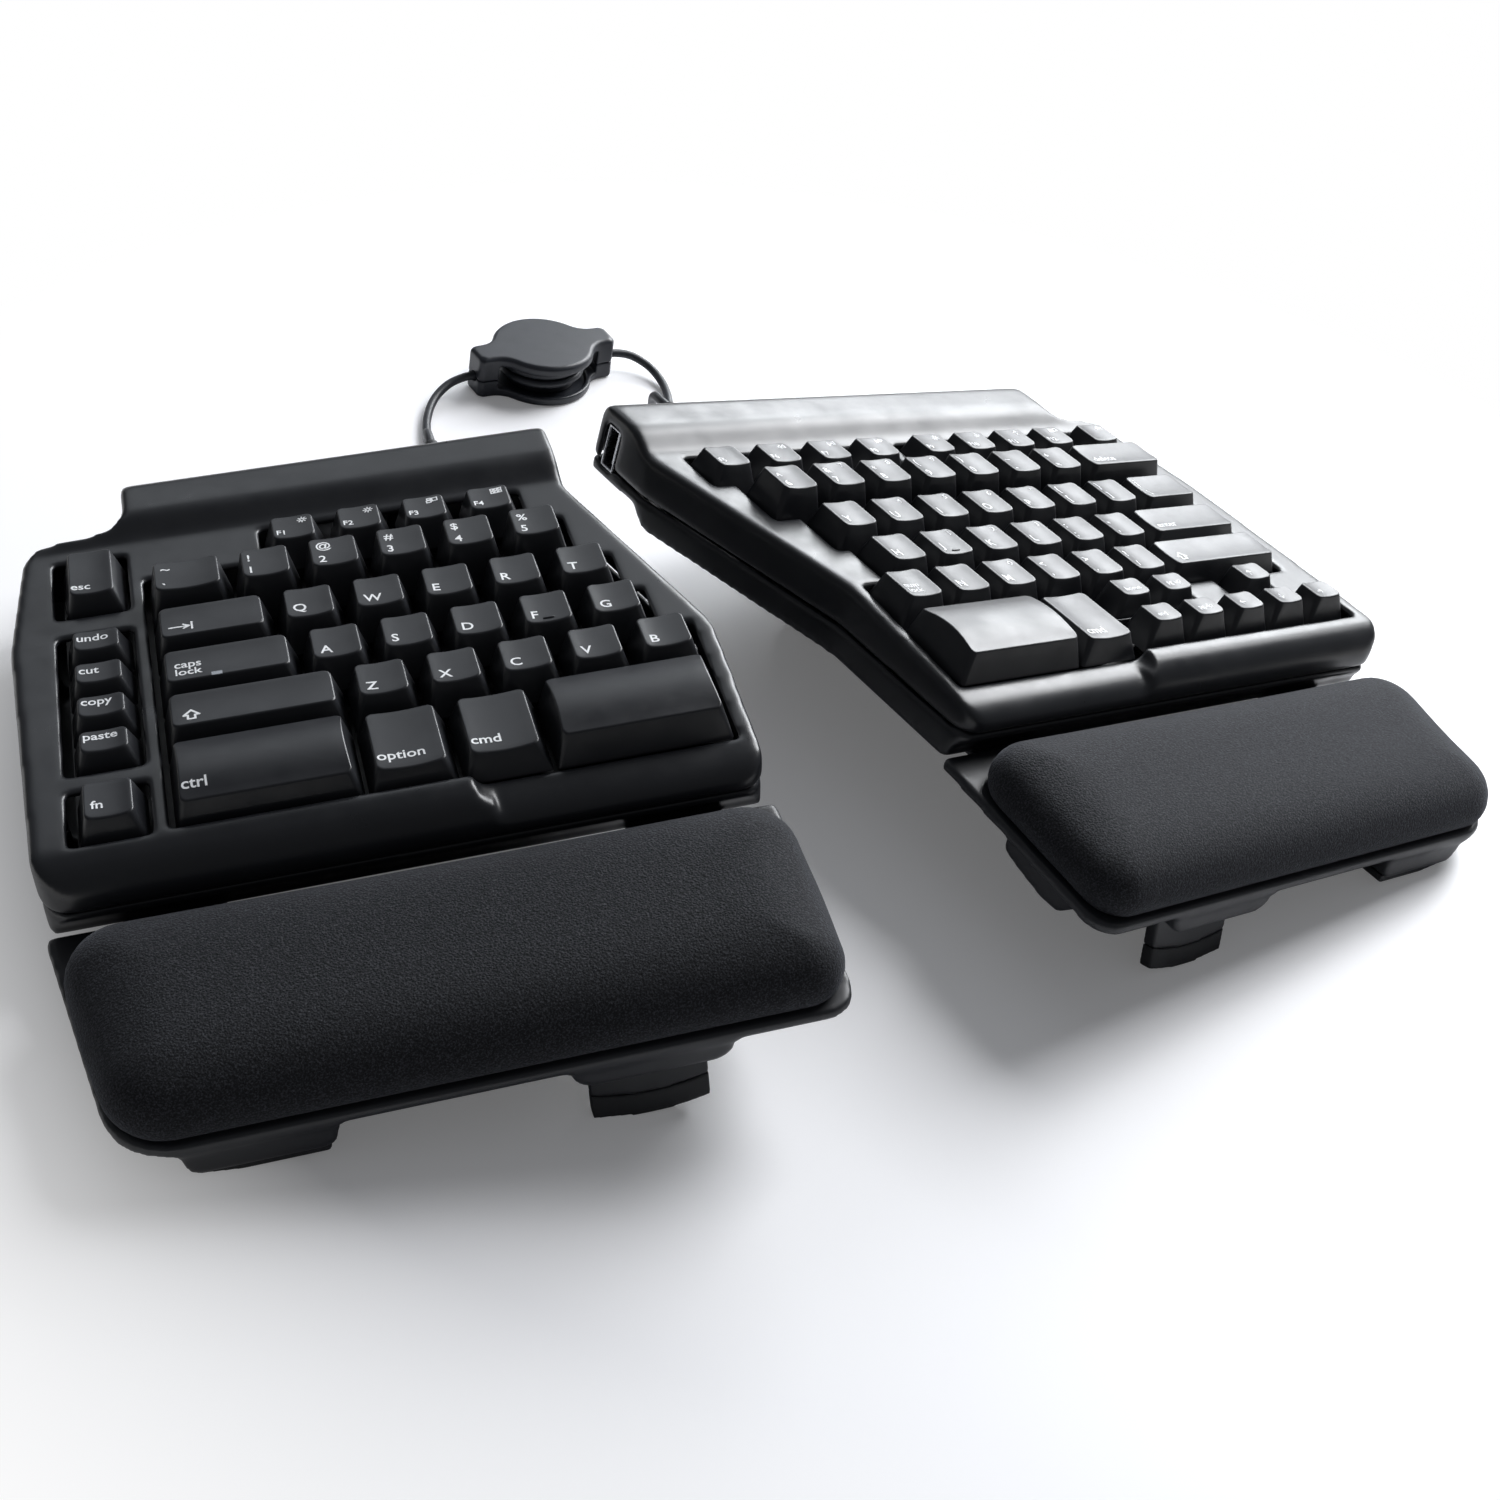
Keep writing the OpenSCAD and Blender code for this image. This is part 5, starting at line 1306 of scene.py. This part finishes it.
@dataclass
class Studio:
    """Pale floor, soft light from behind on the right, and the camera, whose eye and axes fit the photograph."""

    eye: tuple[float, float, float] = (-0.25835, -0.40828, 0.39272)
    right: tuple[float, float, float] = (0.89586, -0.41507, 0.15859)
    down: tuple[float, float, float] = (-0.15754, -0.63044, -0.76009)
    ahead: tuple[float, float, float] = (0.41547, 0.65595, -0.63018)
    aim: tuple[float, float, float] = (0.0, 0.0, 0.03)
    lamp_far: float = 1.6
    floor_reach: float = 2.5
    floor_points: int = 9
    fade_from: tuple[float, float, float] = (0.06, 0.0, 0.0)
    fade_range: tuple[float, float] = (0.25, 0.37)
    floor_lift: float = 0.12
    sky: float = 0.13

    def camera(self) -> None:
        """Sets the camera at the photograph's place, 50 mm on a 36 mm square."""
        data = bpy.data.cameras.new("camera")
        data.lens, data.sensor_width = 50, 36
        data.clip_start, data.clip_end = 0.01, 50
        obj = link("camera", data)
        turn = Matrix((self.right, [-v for v in self.down], [-v for v in self.ahead])).transposed()
        obj.matrix_world = Matrix.Translation(self.eye) @ turn.to_4x4()
        bpy.context.scene.camera = obj

    def floor(self) -> bpy.types.Object:
        """Makes the floor, which fades to plain white away from the object.

        Returns:
            The floor.
        """
        s = Shader("floor_pale")
        s.set(Base_Color=(0.92, 0.92, 0.94, 1), Roughness=0.4, Specular_IOR_Level=0.3)
        far = s.add("ShaderNodeVectorMath", {0: s.place, 1: self.fade_from}, operation="DISTANCE")
        fade = s.ramp(far.outputs["Value"], 0.0, 1.0, self.fade_range)
        path = s.add("ShaderNodeLightPath")
        seen = s.add("ShaderNodeMath", {0: path.outputs["Is Camera Ray"], 1: path.outputs["Is Glossy Ray"]},
                     operation="MAXIMUM").outputs[0]
        part = s.add("ShaderNodeMath", {0: fade, 1: seen}, operation="MULTIPLY").outputs[0]
        glow = s.add("ShaderNodeEmission", {"Color": (1, 1, 1, 1), "Strength": 1.0})
        extra = s.add("ShaderNodeMath", {0: path.outputs["Is Camera Ray"], 1: self.floor_lift},
                      operation="MULTIPLY").outputs[0]
        lift = s.add("ShaderNodeEmission", {"Color": (1, 1, 1, 1), "Strength": extra})
        lit = s.add("ShaderNodeAddShader", {0: s.body.outputs[0], 1: lift.outputs[0]})
        mix = s.add("ShaderNodeMixShader", {0: part, 1: lit.outputs[0], 2: glow.outputs[0]})
        s.tree.links.new(mix.outputs[0], s.out.inputs[0])
        g = np.linspace(-self.floor_reach, self.floor_reach, self.floor_points)
        x, y = np.meshgrid(g, g, indexing="xy")
        i = np.arange(x.size).reshape(x.shape)
        quads = np.stack([i[:-1, :-1], i[:-1, 1:], i[1:, 1:], i[1:, :-1]], -1).reshape(-1, 4)
        flat = Surface(np.stack([x, y, np.zeros_like(x)], -1).reshape(-1, 3), quads, np.zeros((0, 3), int))
        floor = flat.to_object("floor", s.material)
        return floor

    def lamp(self, name: str, way: tuple[float, float, float], size: tuple[float, float], power: float,
             colour: tuple[float, float, float]) -> None:
        """Adds a soft rectangular lamp that looks at the middle of the object.

        Args:
            name: Name of the lamp.
            way: Direction from the object to the lamp.
            size: Width and height.
            power: Power in watts.
            colour: Colour of its light.
        """
        data = bpy.data.lights.new(name, "AREA")
        data.shape, data.size, data.size_y = "RECTANGLE", *size
        data.energy, data.color = power, colour
        obj = link(name, data)
        to = Vector(way).normalized()
        obj.location = Vector(self.aim) + to * self.lamp_far
        obj.rotation_euler = to.to_track_quat("Z", "Y").to_euler()

    def build(self) -> None:
        """Makes the floor, the lamps, the sky and the camera."""
        self.floor()
        self.lamp("window", (0.71, 0.6, 0.37), (1.2, 0.6), 24, (0.94, 0.97, 1.0))
        self.lamp("side", (0.75, 0.35, 0.75), (0.8, 0.8), 24, (0.97, 0.98, 1.0))
        self.lamp("rear", (0.1, 0.8, 0.55), (1.2, 0.8), 3, (0.9, 0.95, 1.0))
        world = bpy.data.worlds.new("sky")
        bpy.context.scene.world = world
        world.use_nodes = True
        tree = world.node_tree
        tree.nodes.clear()
        soft = add_node(tree, "ShaderNodeBackground", {0: (0.9, 0.93, 1.0, 1), 1: self.sky})
        plain = add_node(tree, "ShaderNodeBackground", {0: (1, 1, 1, 1)})
        seen = add_node(tree, "ShaderNodeLightPath").outputs["Is Camera Ray"]
        mix = add_node(tree, "ShaderNodeMixShader", {0: seen, 1: soft.outputs[0], 2: plain.outputs[0]})
        add_node(tree, "ShaderNodeOutputWorld", {0: mix.outputs[0]})
        self.camera()
        bpy.context.scene.view_settings.view_transform = "Standard"


def main() -> None:
    """Builds the studio, the cords and every piece in order."""
    logging.basicConfig(level=logging.INFO, format="%(message)s")
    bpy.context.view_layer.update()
    finishes = Finishes()
    letters = Lettering()
    Studio().build()
    left_route = ((27, 209.3, 5), (20, 203.6, 2.8), (14, 192.6, 1.8), (9.9, 179.6, 1.9), (6.2, 167.1, 2.6),
                  (2.2, 155.6, 8.3), (-1.3, 147, 18.1), (-4.6, 140, 28.2), (-7.4, 133.6, 35.6))
    right_route = ((101.7, 216.8, 5.7), (107, 211.1, 3.6), (108.6, 201.7, 1.9), (106, 190.1, 1.8),
                   (100.6, 177.9, 1.9), (93.8, 166.4, 3.9), (85.4, 155.3, 12.2), (78.3, 146.3, 24),
                   (72.8, 138.3, 35.7), (70, 132, 42.4))
    cords = (LinkCord(Side.LEFT, left_route, gland=57.0), LinkCord(Side.RIGHT, right_route, gland=5.0))
    made = [cord.build(finishes) for cord in cords]
    made += LinkReel().build(finishes)
    for side in Side:
        made += Half(side).build(finishes)
        made.append(PalmPad(side).build(finishes))
    layout = KeyLayout()
    for group in layout.left() + layout.right():
        made += group.build(finishes, letters)
    Inside().build(finishes)
    for obj in made:
        LOG.info("piece %s: %d faces", obj.name, len(obj.data.polygons))


if __name__ == "__main__":
    main()
